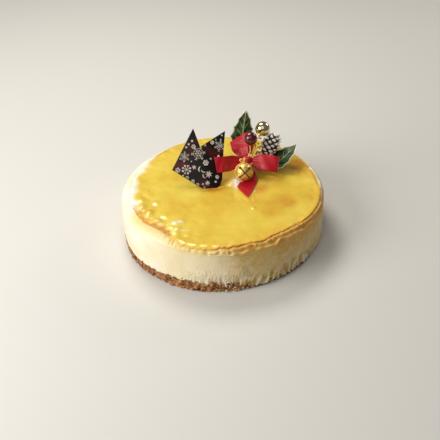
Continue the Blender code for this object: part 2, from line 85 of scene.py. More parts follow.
# Dents in the top before the plaque's foot: place in mm, size in mm, depth in mm
FOOT_DENTS = ((-15.6, -2.6, 3.2, 0.50), (-11.0, -1.6, 3.2, 0.45), (-6.4, -0.6, 3.2, 0.50))

# Ornament
KNOT = Vector((16.2, 21.0, 47.5)) * MM
KNOT_RADII = Vector((4.2, 3.2, 3.2)) * MM
RIBBON_WIDTH = 12.0 * MM
RIBBON_THICKNESS = 0.45 * MM
SATIN_THREAD = 0.3 * MM
BELL_CENTRE = Vector((13.7, 9.8, 44.5)) * MM
BELL_RADIUS = 6.8 * MM
BELL_AXIS = Vector((0.10, -0.80, 0.36)).normalized()
BALL_CENTRE = Vector((28.3, 41.0, 63.4)) * MM
BALL_RADIUS = 5.8 * MM
BALL_WIRE_START = Vector((22.8, 30.0, 55.0)) * MM
BERRY_CENTRE = Vector((18.6, 26.0, 63.8)) * MM
BERRY_RADIUS = 5.1 * MM
CONE_CENTRE = Vector((34.3, 36.7, 51.5)) * MM
CONE_AXIS = Vector((0.52, 0.50, 0.70)).normalized()
CONE_LENGTH = 19.5 * MM
CONE_GIRTH = 5.9 * MM
CONE_SCALES = 52
GOLDEN_ANGLE = math.radians(137.5)
LEAF_SCALLOP = 0.17            # how deep the edge of a leaf curves in between its spines
LEAF_THICKNESS = 0.5 * MM
WIRE_RADIUS = 0.55 * MM
SIGHT_UP = Vector((0, math.sin(math.radians(36)), math.cos(math.radians(36))))


# Hand tools

def deselect():
    bpy.ops.object.select_all(action="DESELECT")


def grab(piece):
    deselect()
    piece.select_set(True)
    bpy.context.view_layer.objects.active = piece


def primitive(kind, **settings):
    """A new object from the mesh menu, by the menu's own name for it."""
    deselect()
    getattr(bpy.ops.mesh, f"primitive_{kind}_add")(**settings)
    return bpy.context.object


def settle(piece):
    """Puts a piece's place, turn and size into its mesh."""
    grab(piece)
    bpy.ops.object.transform_apply(location=True, rotation=True, scale=True)
    return piece


def modify(piece, kind, **settings):
    grab(piece)
    modifier = piece.modifiers.new(kind.lower(), kind)
    for key, value in settings.items():
        setattr(modifier, key, value)
    bpy.ops.object.modifier_apply(modifier=modifier.name)
    return piece


def carve(piece, cutter):
    """Cuts one piece out of another and puts the cutter away."""
    modify(piece, "BOOLEAN", object=cutter, operation="DIFFERENCE")
    discard(cutter)


@contextmanager
def edited(piece):
    """Edit mode with all selected. At its end the faces are turned outwards."""
    grab(piece)
    bpy.ops.object.mode_set(mode="EDIT")
    bpy.ops.mesh.select_all(action="SELECT")
    yield
    bpy.ops.mesh.select_all(action="SELECT")
    bpy.ops.mesh.normals_make_consistent(inside=False)
    bpy.ops.object.mode_set(mode="OBJECT")


def join(pieces):
    deselect()
    for piece in pieces:
        piece.select_set(True)
    bpy.context.view_layer.objects.active = pieces[0]
    bpy.ops.object.join()
    return bpy.context.object


def copy_of(piece, place):
    """A copy with its own mesh, which is moved to its place."""
    made = piece.copy()
    made.data = piece.data.copy()
    bpy.context.collection.objects.link(made)
    made.data.transform(place)
    return made


def discard(piece):
    bpy.data.objects.remove(piece)


def mould(piece, rule):
    """Moves every vertex of a mesh by a rule, as a hand would press it into its form."""
    for vertex in piece.data.vertices:
        vertex.co = rule(vertex.co)
    piece.data.update()
    return piece


def measured(piece, rule):
    """What a rule says of each vertex's place."""
    return [rule(vertex.co) for vertex in piece.data.vertices]


def paint(piece, name, values):
    """Stores a number for each vertex, which the piece's material reads by name."""
    piece.data.attributes.new(name, "FLOAT", "POINT").data.foreach_set("value", values)
    return piece


def finish(piece, name, surface, slot, *nodes, angle=40):
    """Names a piece, dresses it and lets it stand for the solids named."""
    settle(piece)
    piece.name = piece.data.name = name
    piece.data.materials.clear()
    piece.data.materials.append(surface)
    bpy.ops.object.shade_smooth_by_angle(angle=math.radians(angle))
    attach(piece, "root")
    if nodes:
        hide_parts(*nodes)
    return piece


def mm(x, y, z):
    return Vector((x, y, z)) * MM


def hump(value, middle, width):
    """1 at the middle, falling away to 0 on both sides."""
    return math.exp(-((value - middle) / width) ** 2)


def smoothstep(value, low, high):
    t = min(1.0, max(0.0, (value - low) / (high - low)))
    return t * t * (3 - 2 * t)


def axes(x_axis, y_hint, origin):
    x_axis = x_axis.normalized()
    y_axis = (y_hint - x_axis * y_hint.dot(x_axis)).normalized()
    turn = Matrix((x_axis, y_axis, x_axis.cross(y_axis))).transposed().to_4x4()
    return Matrix.Translation(origin) @ turn


def turn_to(direction, origin):
    """Matrix whose Z points in a direction."""
    return Matrix.Translation(origin) @ direction.to_track_quat("Z", "Y").to_matrix().to_4x4()


def path_point(points, u):
    """Point at u from 0 to 1 on a smooth curve through a list of points."""
    spans = len(points) - 1
    i = min(int(u * spans), spans - 1)
    t = u * spans - i
    p1, p2 = points[i], points[i + 1]
    p0 = points[i - 1] if i else p1 * 2 - p2
    p3 = points[i + 2] if i + 2 <= spans else p2 * 2 - p1
    return 0.5 * (2 * p1 + (p2 - p0) * t + (2 * p0 - 5 * p1 + 4 * p2 - p3) * t ** 2
                  + (3 * p1 - p0 - 3 * p2 + p3) * t ** 3)


def thrown(profile, sides):
    """A closed round body: a ring extruded and resized along a profile from axis to axis."""
    radius, height = 0.005 * MM, profile[0][1]
    tip = radius
    piece = settle(primitive("circle", vertices=sides, radius=tip, location=(0, 0, height)))
    with edited(piece):
        for next_radius, next_height in profile[1:]:
            next_radius = max(next_radius, tip)
            bpy.ops.mesh.extrude_region_move(
                TRANSFORM_OT_translate={"value": (0, 0, next_height - height)})
            ratio = next_radius / radius
            bpy.ops.transform.resize(value=(ratio, ratio, 1), center_override=(0, 0, next_height))
            radius, height = next_radius, next_height
        bpy.ops.mesh.select_all(action="SELECT")
        bpy.ops.mesh.remove_doubles(threshold=3 * tip)
    return piece


# Finishes

def linear(text):
    """Linear colour from an sRGB hex value."""
    channels = [int(text[i:i + 2], 16) / 255 for i in (1, 3, 5)]
    return (*[c / 12.92 if c <= 0.04045 else ((c + 0.055) / 1.055) ** 2.4 for c in channels], 1.0)


def plug(tree, socket, value):
    """Links a socket to another one, or sets it to a number, a vector or a hex colour."""
    if isinstance(value, bpy.types.NodeSocket):
        tree.links.new(value, socket)
    else:
        socket.default_value = linear(value) if isinstance(value, str) else value


def add(tree, kind, inputs, **settings):
    """Adds a shader node with its settings and inputs."""
    made = tree.nodes.new("ShaderNode" + kind)
    for key, value in settings.items():
        setattr(made, key, value)
    for key, value in inputs.items():
        plug(tree, made.inputs[key], value)
    return made


class Finish:
    """A material, with short names for the nodes that make it up. Sizes are in metres."""

    def __init__(self, name, colour, **sockets):
        self.material = bpy.data.materials.new(name)
        self.material.use_nodes = True
        self.tree = self.material.node_tree
        self.place = add(self.tree, "TexCoord", {}).outputs["Object"]
        self.feed(base_color=colour, **sockets)

    def feed(self, **sockets):
        surface = self.tree.nodes["Principled BSDF"]
        for key, value in sockets.items():
            plug(self.tree, surface.inputs[key.replace("_", " ").title().replace("Ior", "IOR")], value)
        return self.material

    def attribute(self, name):
        return add(self.tree, "Attribute", {}, attribute_name=name).outputs["Fac"]

    def noise(self, size, detail=2.0, roughness=0.5, place=None, output=0):
        inputs = {"Vector": place or self.place, "Scale": 1 / size, "Detail": detail,
                  "Roughness": roughness}
        return add(self.tree, "TexNoise", inputs).outputs[output]

    def cells(self, size, output="Distance"):
        inputs = {"Vector": self.place, "Scale": 1 / size}
        return add(self.tree, "TexVoronoi", inputs).outputs[output]

    def maths(self, operation, *values):
        return add(self.tree, "Math", dict(enumerate(values)), operation=operation).outputs[0]

    def spread(self, value, *limits):
        """Maps a value from one range, its low and high, to another."""
        return add(self.tree, "MapRange", dict(enumerate((value, *limits)))).outputs[0]

    def ramp(self, value, *stops):
        """Colours by a value: each stop is a position, and a hex colour or a grey from 0 to 1."""
        made = add(self.tree, "ValToRGB", {0: value})
        elements = made.color_ramp.elements
        for i, (position, colour) in enumerate(stops):
            element = elements[i] if i < 2 else elements.new(position)
            element.position = position
            element.color = linear(colour) if isinstance(colour, str) else (*[colour] * 3, 1.0)
        return made.outputs[0]

    def mix(self, share, under, over):
        return add(self.tree, "Mix", {0: share, 6: under, 7: over}, data_type="RGBA").outputs[2]

    def bump(self, height, distance, strength, *under):
        inputs = {"Height": height, "Distance": distance, "Strength": strength}
        inputs.update(("Normal", normal) for normal in under)
        return add(self.tree, "Bump", inputs).outputs[0]


def glaze_finish():
    # Apricot jelly brushed over a browned top: wet and clear, so the baked colour shows through
    # as yellow with orange clouds, and it turns to caramel where it thickens at its edge.
    jelly = Finish("apricot_jelly_glaze", "#E9C84A", ior=1.42, coat_roughness=0.06,
                   subsurface_weight=0.10, subsurface_scale=0.002)
    clouds = jelly.ramp(jelly.noise(0.030, 4.0, 0.55),
                        (0.36, "#E2BC40"), (0.50, "#EACB4A"), (0.64, "#EFD55A"))
    # Brown patches: browning, and before the plaque's foot painted shade and reflection of the plaque
    patch = jelly.maths("MULTIPLY", jelly.attribute("brown_and_plaque_shade"), jelly.noise(0.009, 5.0, 0.6))
    toasted = jelly.mix(jelly.ramp(patch, (0.05, 0), (0.60, 1)), clouds, "#CC8526")
    rim = jelly.attribute("rim")
    caramel = jelly.ramp(rim, (0.40, "#DFA53C"), (1.0, "#C98A34"))
    burnt = jelly.mix(jelly.ramp(rim, (0.0, 0), (0.7, 1)), toasted, caramel)
    speckled = jelly.mix(jelly.ramp(jelly.cells(0.011), (0.035, 1), (0.07, 0)), burnt, "#B9822C")
    # Near-white: the glaze's thin left edge, partly painted highlight, and painted highlight spots
    return jelly.feed(base_color=jelly.mix(jelly.attribute("pale_edge_and_painted_highlight"), speckled, "#FDFAF0"),
                      roughness=jelly.spread(rim, 0.0, 0.5, 0.22, 0.55),
                      coat_weight=jelly.spread(rim, 0.0, 0.25, 0.6, 0.05),
                      normal=jelly.bump(jelly.noise(0.006, 3.0), 0.00035, 0.5))


def cheese_finish():
    # Baked soft cheese turned out of a lined tin: matt cream with fine pores, a little waxy,
    # yellower under the glaze, and toasted tan and rusty where the tin was hottest. The tan over
    # the right side is partly painted shade, darker between the folds at the foot as painted shade,
    # and lifted by a painted highlight band under the right rim. Where it tore from the lining at
    # the foot it is bristly.
    curd = Finish("baked_cheese_curd", "#F1E7C4", roughness=0.55, subsurface_weight=0.25,
                  subsurface_scale=0.003)
    cream = curd.ramp(curd.noise(0.022, 4.0), (0.35, "#F0E6C6"), (0.50, "#F6EED5"), (0.68, "#F9F5E6"))
    grained = curd.spread(curd.noise(0.0014, 3.0), 0.3, 0.7, 0.62, 0.95)
    # Tan: browning, and painted shade over the right side and between the folds at the foot
    tanned = curd.mix(curd.maths("MULTIPLY", curd.attribute("toast_and_painted_light"), grained), cream, "#BC9434")
    rust = curd.maths("MULTIPLY", curd.attribute("rust"), grained)
    toasted = curd.mix(curd.ramp(rust, (0.08, 0), (0.45, 0.95)), tanned, "#C88C34")
    fine = curd.maths("ADD", curd.noise(0.0012, 3.0), curd.cells(0.0026))
    upright = add(curd.tree, "VectorMath", {0: curd.place, 1: (1 / 0.0013, 1 / 0.0013, 1 / 0.0042)},
                  operation="MULTIPLY").outputs[0]
    bristle = curd.noise(1.0, 3.0, 0.6, place=upright)
    torn = curd.maths("MULTIPLY", bristle, curd.attribute("fuzz"))
    return curd.feed(base_color=curd.mix(curd.attribute("yellow"), toasted, "#EBCB66"),
                     normal=curd.bump(torn, 0.0022, 0.8, curd.bump(fine, 0.00025, 0.5)))


def crumb_finish():
    # Crushed biscuit bound with butter: rough, grainy, browns that change from grain to grain.
    crumb = Finish("buttered_biscuit_crumb", "#A9672F", roughness=0.85)
    dust = (0.0030, 6.0, 0.7)
    mixed = crumb.mix(0.5, crumb.cells(0.0017, "Color"), crumb.noise(*dust, output="Color"))
    lightness = add(crumb.tree, "RGBToBW", {0: mixed}).outputs[0]
    tone = crumb.ramp(lightness, (0.26, "#45210E"), (0.44, "#955F34"), (0.76, "#D2A26C"))
    return crumb.feed(base_color=tone, normal=crumb.bump(crumb.noise(*dust), 0.0009, 1.0))


def chocolate_finish():
    # Dark couverture set on a transfer sheet: nearly black, satin, with patches of dull red in its
    # colour.
    dark = Finish("dark_couverture", "#1D1411", roughness=0.36, ior=1.5, specular_ior_level=0.35)
    tone = dark.ramp(dark.noise(0.011), (0.48, "#130D0C"), (0.60, "#36110F"), (0.72, "#561C1A"))
    return dark.feed(base_color=tone, normal=dark.bump(dark.noise(0.005), 0.0002, 0.25))


def print_finish():
    # Cocoa butter with white colour from the transfer sheet: thin, chalky, a little broken.
    ink = Finish("white_cocoa_butter_print", "#E6DED6", roughness=0.5)
    worn = ink.noise(0.002, 3.0)
    return ink.feed(base_color=ink.ramp(worn, (0.32, "#8C7F74"), (0.46, "#CFC7BE"), (0.70, "#E8E2DB")))


def satin_finish():
    # Polyester satin ribbon: floats run along it, so it shines in bands across the bends, and
    # the woven edges are a little darker. The real threads, 0.1 mm, are drawn at 0.3 mm.
    satin = Finish("red_polyester_satin", "#B00E22", roughness=0.36, specular_ior_level=0.45,
                   coat_weight=0.12, coat_roughness=0.2)
    across = add(satin.tree, "SeparateXYZ", {0: add(satin.tree, "UVMap", {}).outputs[0]}).outputs[1]
    threads = satin.maths("MULTIPLY", across, math.tau * RIBBON_WIDTH / SATIN_THREAD)
    away = satin.maths("ABSOLUTE", satin.maths("SUBTRACT", across, 0.5))
    edge = satin.ramp(away, (0.455, "#B40F24"), (0.475, "#8A0A1A"))
    return satin.feed(base_color=satin.mix(satin.noise(0.006), "#D0142C", edge),
                      normal=satin.bump(satin.maths("SINE", threads), 0.00004, 0.3))


def gilt_finish(name, colour, roughness, grain, depth, metallic=1.0):
    # Gilded metal or foil: a warm mirror whose reflections are broken up by fine unevenness.
    gilt = Finish(name, colour, roughness=roughness, metallic=metallic)
    red, green, blue, _ = linear(colour)
    tone = gilt.mix(gilt.spread(gilt.noise(0.004, 4.0), 0.40, 0.60, 0.0, 1.0),
                    (0.72 * red, 0.68 * green, 0.55 * blue, 1.0), colour)
    return gilt.feed(base_color=tone, normal=gilt.bump(gilt.noise(grain), depth, 0.6))


def berry_finish():
    # Lacquered berry: deep wine colour under a clear, wet-looking coat.
    lacquer = Finish("wine_red_lacquer", "#560A16", roughness=0.25, coat_weight=0.8,
                     coat_roughness=0.04, specular_ior_level=0.3)
    cloud = lacquer.noise(0.005, 3.0)
    return lacquer.feed(base_color=lacquer.ramp(cloud, (0.40, "#4C0510"), (0.62, "#820B1C")))


def leaf_finish():
    # Waxed artificial holly: dark mottled green with pale ribs, and a pale line painted along
    # its edge.
    wax = Finish("waxed_holly", "#2F4A1C", roughness=0.45, coat_weight=0.12, coat_roughness=0.2,
                 specular_ior_level=0.35)
    mottle = wax.noise(0.0035, 5.0, 0.65)
    green = wax.ramp(mottle, (0.34, "#0E2209"), (0.50, "#1C3710"), (0.68, "#4A7030"))
    return wax.feed(base_color=wax.mix(wax.attribute("pale"), green, "#E2E8CC"),
                    normal=wax.bump(mottle, 0.0003, 0.5))


def cone_finish():
    # Dried pine cone: brown wood with its scale tips dipped in white paint.
    cone = Finish("dried_cone_with_white_tips", "#4A3226", roughness=0.6)
    fibre = cone.noise(0.0015, 4.0)
    wood = cone.ramp(fibre, (0.35, "#24160F"), (0.65, "#5B4032"))
    ragged = cone.maths("MULTIPLY", cone.attribute("tip"), fibre)
    dipped = cone.mix(cone.ramp(ragged, (0.20, 0), (0.32, 1)), wood, "#F4F0F0")
    return cone.feed(base_color=dipped, normal=cone.bump(fibre, 0.0002, 0.6))


# Cake

def polar(co):
    """Distance from the middle, and bearing in degrees."""
    return math.hypot(co.x, co.y), math.degrees(math.atan2(co.y, co.x)) % 360


def window(angle, start, end, soft):
    """1 between two bearings in degrees, falling to 0 over soft degrees outside them."""
    middle, half = (start + end) / 2, (end - start) / 2
    away = abs((angle - middle + 180) % 360 - 180)
    return 1 - smoothstep(away, half, half + soft)


def ring_noise(angle, across, height, seed=0.0):
    """Noise round the cake: across is how many features fit in about one radian."""
    a = math.radians(angle)
    return noise.noise(Vector((across * math.cos(a), across * math.sin(a), height + seed)))


def warp(radius, angle, height):
    a = math.radians(angle)
    radius *= 1 + OUT_OF_ROUND * math.sin(2 * a)
    return Vector((radius * math.cos(a) + LEAN * height, radius * math.sin(a), height))


# Tables of places on the top, each with x, y and size in mm
# Bumps of the glaze, with their height in mm
GLAZE_BUMPS = (
    (-59.3, -27.0, 3.0, 0.7), (-53.9, -34.1, 2.6, 0.8), (-50.3, -22.8, 2.4, 0.5),
    (-47.4, -44.5, 2.6, 0.7), (-55.6, -43.9, 2.0, 0.5), (-35.0, -46.4, 2.6, 0.8),
    (-31.0, -44.0, 2.2, 0.7), (-32.9, -52.5, 2.4, 0.7), (-38.0, -51.0, 2.0, 0.5),
    (20.4, -25.9, 1.8, 0.7), (7.5, 8.0, 4.5, 2.0), (4.2, 3.6, 3.0, 0.9),
    (-62.0, -18.0, 3.0, 0.5), (-43.0, -37.0, 3.0, 0.4),
)
# Browned patches, with their strength. The three just before the plaque's foot are painted shade and
# reflection of the plaque.
BROWN_AND_PLAQUE_SHADE_PATCHES = (
    (24.2, -3.4, 5.0, 1.0), (29.4, 2.6, 4.5, 0.7), (19.5, -14.6, 6.0, 0.4),
    (48.2, -17.8, 5.5, 0.55), (43.0, -13.7, 7.0, 0.45), (55.8, 33.0, 7.0, 1.9),
    (33.7, -26.4, 11.0, 0.45), (0.3, 9.2, 4.0, 0.6), (-8.0, -2.0, 5.0, 0.8),
    (-2.6, -1.0, 4.5, 0.6), (36.5, 12.0, 7.0, 0.35), (60.0, 20.0, 7.0, 0.5),
    (-60.0, -34.0, 7.0, 0.5), (-48.0, -49.0, 6.0, 0.5), (64.0, -8.0, 7.0, 0.4),
    (-14.0, -3.0, 7.0, 0.5),
)
# Painted highlights: white spots on the glaze where its shine is painted in, with how strong
PAINTED_HIGHLIGHT_SPOTS = (
    (11.6, 8.8, 3.8, 1.7), (9.8, 3.4, 3.8, 1.7), (-35.4, -46.2, 2.2, 0.7),
    (-31.4, -45.0, 1.8, 0.6), (-30.0, -53.6, 1.4, 0.5), (-51.2, -24.6, 1.5, 0.5),
    (-47.6, -44.0, 1.3, 0.4),
)
# Dark specks at the rim, with their strength
SPECKS = (
    (56.6, 22.1, 1.2, 0.9), (55.2, 13.8, 0.9, 0.7), (52.5, 12.0, 0.8, 0.5),
    (-44.0, -52.6, 2.4, 0.8), (-49.5, -47.8, 1.6, 0.5), (-39.6, -55.8, 1.8, 0.8),
)


def spots(co, table):
    total = 0.0
    for x, y, size, strength in table:
        away = ((co.x / MM - x) ** 2 + (co.y / MM - y) ** 2) / size ** 2
        if away < 6:
            total += strength * math.exp(-away)
    return total


def crumb_edge(angle):
    """Height of the crumb layer at the side: craggy, and low where cheese ran down over it."""
    crag = ring_noise(angle, 9, 3.1) + 0.6 * ring_noise(angle, 25, 7.7)
    plain = BASE_HEIGHT + 1.1 * MM * crag
    low = BASE_EDGE_LOW + 0.7 * MM * crag
    return plain + (low - plain) * window(angle, *COVERED)


def shoulder_lean(w):
    """How far the outline has turned down at w, from 0 on the top to a right angle."""
    return min(1.0, max(0.0, (w - SHOULDER_START) / SHOULDER_ARC)) * math.pi / 2


def skin(w, angle):
    """Nominal radius and height of the cheese at w along its outline."""
    a = math.radians(angle)
    radius, drop = w, 0.0
    if w > SHOULDER_START:
        lean = shoulder_lean(w)
        radius = SHOULDER_START + SHOULDER_WIDTH * math.sin(lean)
        drop = SHOULDER_DROP * (1 - math.cos(lean))
        radius = CAKE_RADIUS - (CAKE_RADIUS - radius) * (1 + 0.33 * math.cos(a - math.radians(190)))
    lip = window(angle, 285, 350, 25) * hump(radius / MM, 71.2, 2.0)
    soft = ring_noise(angle, 14, 200 * radius) * smoothstep(radius, 58 * MM, 68 * MM)
    height = CAKE_HEIGHT - drop + 0.5 * MM * lip + 0.35 * MM * soft
    if w < 24 * MM:
        height -= spots(warp(w, angle, CAKE_HEIGHT), FOOT_DENTS) * MM
    return radius, height + TOP_SLOPE * radius * math.cos(a)


def glaze_edge(angle):
    """How far the glaze reaches along the outline at a bearing, with its small scallops."""
    for (a0, w0), (a1, w1) in zip(GLAZE_EDGE, GLAZE_EDGE[1:]):
        if angle <= a1:
            reach = w0 + (w1 - w0) * (angle - a0) / (a1 - a0)
            break
    ragged = 0.35 * ring_noise(angle, 30, 1.3) + 0.30 * ring_noise(angle, 60, 4.1)
    frilly = 1.3 * window(angle, 234, 272, 8) * ring_noise(angle, 28, 9.2)
    return (reach + ragged + frilly) * MM


def crimped(past, angle):
    """How far the baked rim stands out, at a distance past the glaze's edge. Both in mm."""
    lump = 0.8 + 1.3 * ring_noise(angle, 22, 0.09 * past, 5.0)
    lump += 0.8 * ring_noise(angle, 46, 0.2 * past, 8.0)
    fold = max(0.0, 0.7 + 1.6 * ring_noise(angle, 16, 0.04 * past, 1.0))
    crest = 5.2 + 2.2 * ring_noise(angle, 9, 0.0, 3.0)
    ruffle = 0.90 * lump * hump(past, 1.7, 0.9) + 0.95 * fold * hump(past, crest, 0.8)
    ruffle -= 0.18 * hump(past, 0.2, 0.5) + 0.25 * hump(past, crest - 1.7, 0.7)
    loops = 1 - 2.6 * abs(ring_noise(angle, 22, 0.11 * past, 2.0))
    frill = hump(past, 2.0, 2.2) * (0.9 * loops - 0.25)
    rough = hump(past, 1.4, 1.3) * (0.5 * lump - 0.25)
    return smoothstep(past, -0.5, 0.5) * (window(angle, 266, 346, 10) * ruffle
                                          + window(angle, 234, 274, 6) * frill
                                          + window(angle, 350, 430, 12) * rough)


def tuft(angle, z):
    """1 on the ridges of the folds at the foot of the front, 0 between them."""
    return max(0.0, 1 - 3.0 * abs(ring_noise(angle, 15, 60 * z, 11.0)))


# Browning of the cheese, with painted shade and a painted highlight in the tan share. Each rule
# takes the distance past the glaze's edge in mm, how far down the side from 0 to 1, and the bearing.

def toast_and_painted_light(past, down, angle):
    # Right side: baked tan, and painted shade, as this side lies in shade
    side = window(angle, 284, 420, 26) * (0.84 + 0.20 * smoothstep(1 - down, 0.4, 0.9))
    ridge = tuft(angle, 33 * MM * (1 - down))
    # Folds at the foot: tan lessened on the ridges as painted highlight, added between them as painted shade
    fringe = window(angle, 262, 325, 10) * smoothstep(down, 0.55, 0.85)
    side *= 1 - 0.8 * fringe * smoothstep(ridge, 0.5, 0.9)
    # pale: a painted highlight band below the glaze's edge on the right
    pale = 0.85 * window(angle, 352, 430, 12) * hump(past, 1.2, 2.2)
    side *= (1 + 0.3 * ring_noise(angle, 14, 9 * down)) * (1 - pale)
    return side + 0.4 * fringe * max(0.0, 0.6 - ridge)


def rust(past, down, angle):
    streak = 1.15 + 1.7 * ring_noise(angle, 20, 0.40 * past, 4.0)
    rim = window(angle, 280, 356, 12) * hump(past, 2.6, 2.4) * streak
    line = 1.1 * window(angle, 274, 352, 8) + 0.4 * window(angle, 222, 262, 12)
    grain = 0.9 * window(angle, 304, 350, 12) * (1 - smoothstep(down, 0.05, 0.45))
    grain *= 0.6 + 1.2 * ring_noise(angle, 40, 30 * down)
    return min(1.0, max(0.0, rim, line * hump(past, 0.5, 0.9), grain))


def yellow(past, down, angle):
    near = hump(max(0.0, past), 0.0, 6.0)
    near *= (0.05 + 0.80 * window(angle, 216, 352, 12)) * (1 - window(angle, 150, 198, 12))
    return max(near * (1 - 0.75 * rust(past, down, angle)), 0.20 * window(angle, 242, 330, 22))


def fuzz(past, down, angle):
    edge = 0.62 + 0.25 * ring_noise(angle, 9, 0.0, 8.0)
    return window(angle, 254, 330, 12) * smoothstep(down, edge - 0.15, edge + 0.15)


def cheese_body():
    steps, rows = 11, 26
    top_side = CAKE_HEIGHT - SHOULDER_DROP
    profile = [(0, 0)] + [(w * MM, 0) for w in (4, 8, 11, 14, 17, 20, 26, 38, 50, 60, 64, 66, 67.5)]
    profile += [(SHOULDER_START + SHOULDER_ARC * i / steps, 0) for i in range(steps + 1)]
    profile += [(CAKE_RADIUS + SHOULDER_ARC, -top_side * i / rows) for i in range(1, rows + 1)]
    profile += [(71.0 * MM, -1.2 * top_side), (0, -1.2 * top_side)]
    piece = thrown(profile, TURN_STEPS)

    def place(co):
        w, angle = polar(co)
        down = max(0.0, -co.z / top_side)
        return (min(w, SHOULDER_END) - glaze_edge(angle) + down * top_side) / MM, down, angle

    def form(co):
        w, angle = polar(co)
        if co.z > -0.5 * top_side / rows:
            radius, height = skin(w, angle)
            lift = MM * crimped((w - glaze_edge(angle)) / MM, angle)
            lean = shoulder_lean(w)
            return warp(radius + lift * math.sin(lean), angle, height + lift * math.cos(lean))
        if co.z < -1.1 * top_side:
            return warp(w, angle, min(BASE_HEIGHT, crumb_edge(angle)) - 0.6 * MM)
        past, share, _ = place(co)
        radius, high = skin(SHOULDER_END, angle)
        pleated = window(angle, 264, 322, 10)
        crest = max(0.0, 1 - 3.0 * abs(ring_noise(angle, 20, 0.0, 11.0)))
        low = max(crumb_edge(angle) - MM * (0.5 + 1.0 * pleated * (crest - 0.35)), 0.8 * MM)
        z = high + (low - high) * share
        reach = (12 + 8 * ring_noise(angle, 14, 0.0, 2.0)) * MM
        folds = pleated * (1 - smoothstep(z, 0.5 * reach, reach))
        belly = window(angle, 155, 210, 30) * math.sin(math.pi * min(1.0, z / CAKE_HEIGHT))
        radius += MM * crimped(past, angle) * (1 - smoothstep(past, 6.0, 8.0))
        radius += MM * (1.8 * folds * (tuft(angle, z) - 0.65)
                        + 0.6 * folds * ring_noise(angle, 40, 120 * z, 3.0)
                        + 0.4 * ring_noise(angle, 3, 30 * z) + 1.2 * belly
                        + 0.18 * ring_noise(angle, 11, 12 * z, 6.0)
                        + 0.05 * ring_noise(angle, 120, 1600 * z, 1.0))
        return warp(radius, angle, z)

    places = measured(piece, place)
    mould(piece, form)
    for rule in (toast_and_painted_light, rust, yellow, fuzz):
        paint(piece, rule.__name__, [rule(*where) for where in places])
    return finish(piece, "cheese_body", cheese_finish(), "baked_cheese", "cheese_filling")


def crumb_layer():
    rows = 14
    edge = BASE_RADIUS
    profile = [(r * MM, BASE_HEIGHT) for r in (0, 60, 68, 71.5, 73.0, 74.2, 75.2)]
    profile += [(edge, BASE_HEIGHT * (1 - i / rows)) for i in range(rows + 1)]
    profile += [(edge - 1.4 * MM, 0.0), (60 * MM, 0.0), (0, 0.0)]
    piece = thrown(profile, CRUMB_TURN_STEPS)

    def form(co):
        radius, angle = polar(co)
        share = co.z / BASE_HEIGHT
        outside = smoothstep(radius, 71 * MM, 75 * MM)
        inside_top = BASE_HEIGHT - 1.2 * MM
        top = crumb_edge(angle) + 1.2 * MM * ring_noise(angle, 30, 2.2) \
            + 0.9 * MM * ring_noise(angle, 68, 5.2) \
            - (0.4 - 1.1 * window(angle, 205, 282, 15)) * MM
        top = min(inside_top + (top - inside_top) * outside, BASE_HEIGHT + 2.4 * MM)
        height = share * top
        if radius > edge - 1.0 * MM:
            spot = Vector((*around(radius, math.radians(angle)), height))
            lumps = noise.voronoi(spot / (3.4 * MM))[0][0]
            grains = noise.voronoi(spot / (1.3 * MM))[0][0]
            crag = ring_noise(angle, 26, 400 * height)
            pits = smoothstep(share, 0.70, 1.0) * max(0.0, ring_noise(angle, 42, 0.0, 6.5) + 0.1)
            radius += MM * (0.6 * crag + 1.9 * (0.34 - lumps) + 1.0 * (0.34 - grains) - 3.0 * pits
                            - 1.1 * window(angle, *COVERED))
        return warp(radius, angle, max(0.0, height))

    mould(piece, form)
    return finish(piece, "baked_crumb_layer", crumb_finish(), "baked_crumb", "crumb_base", angle=70)


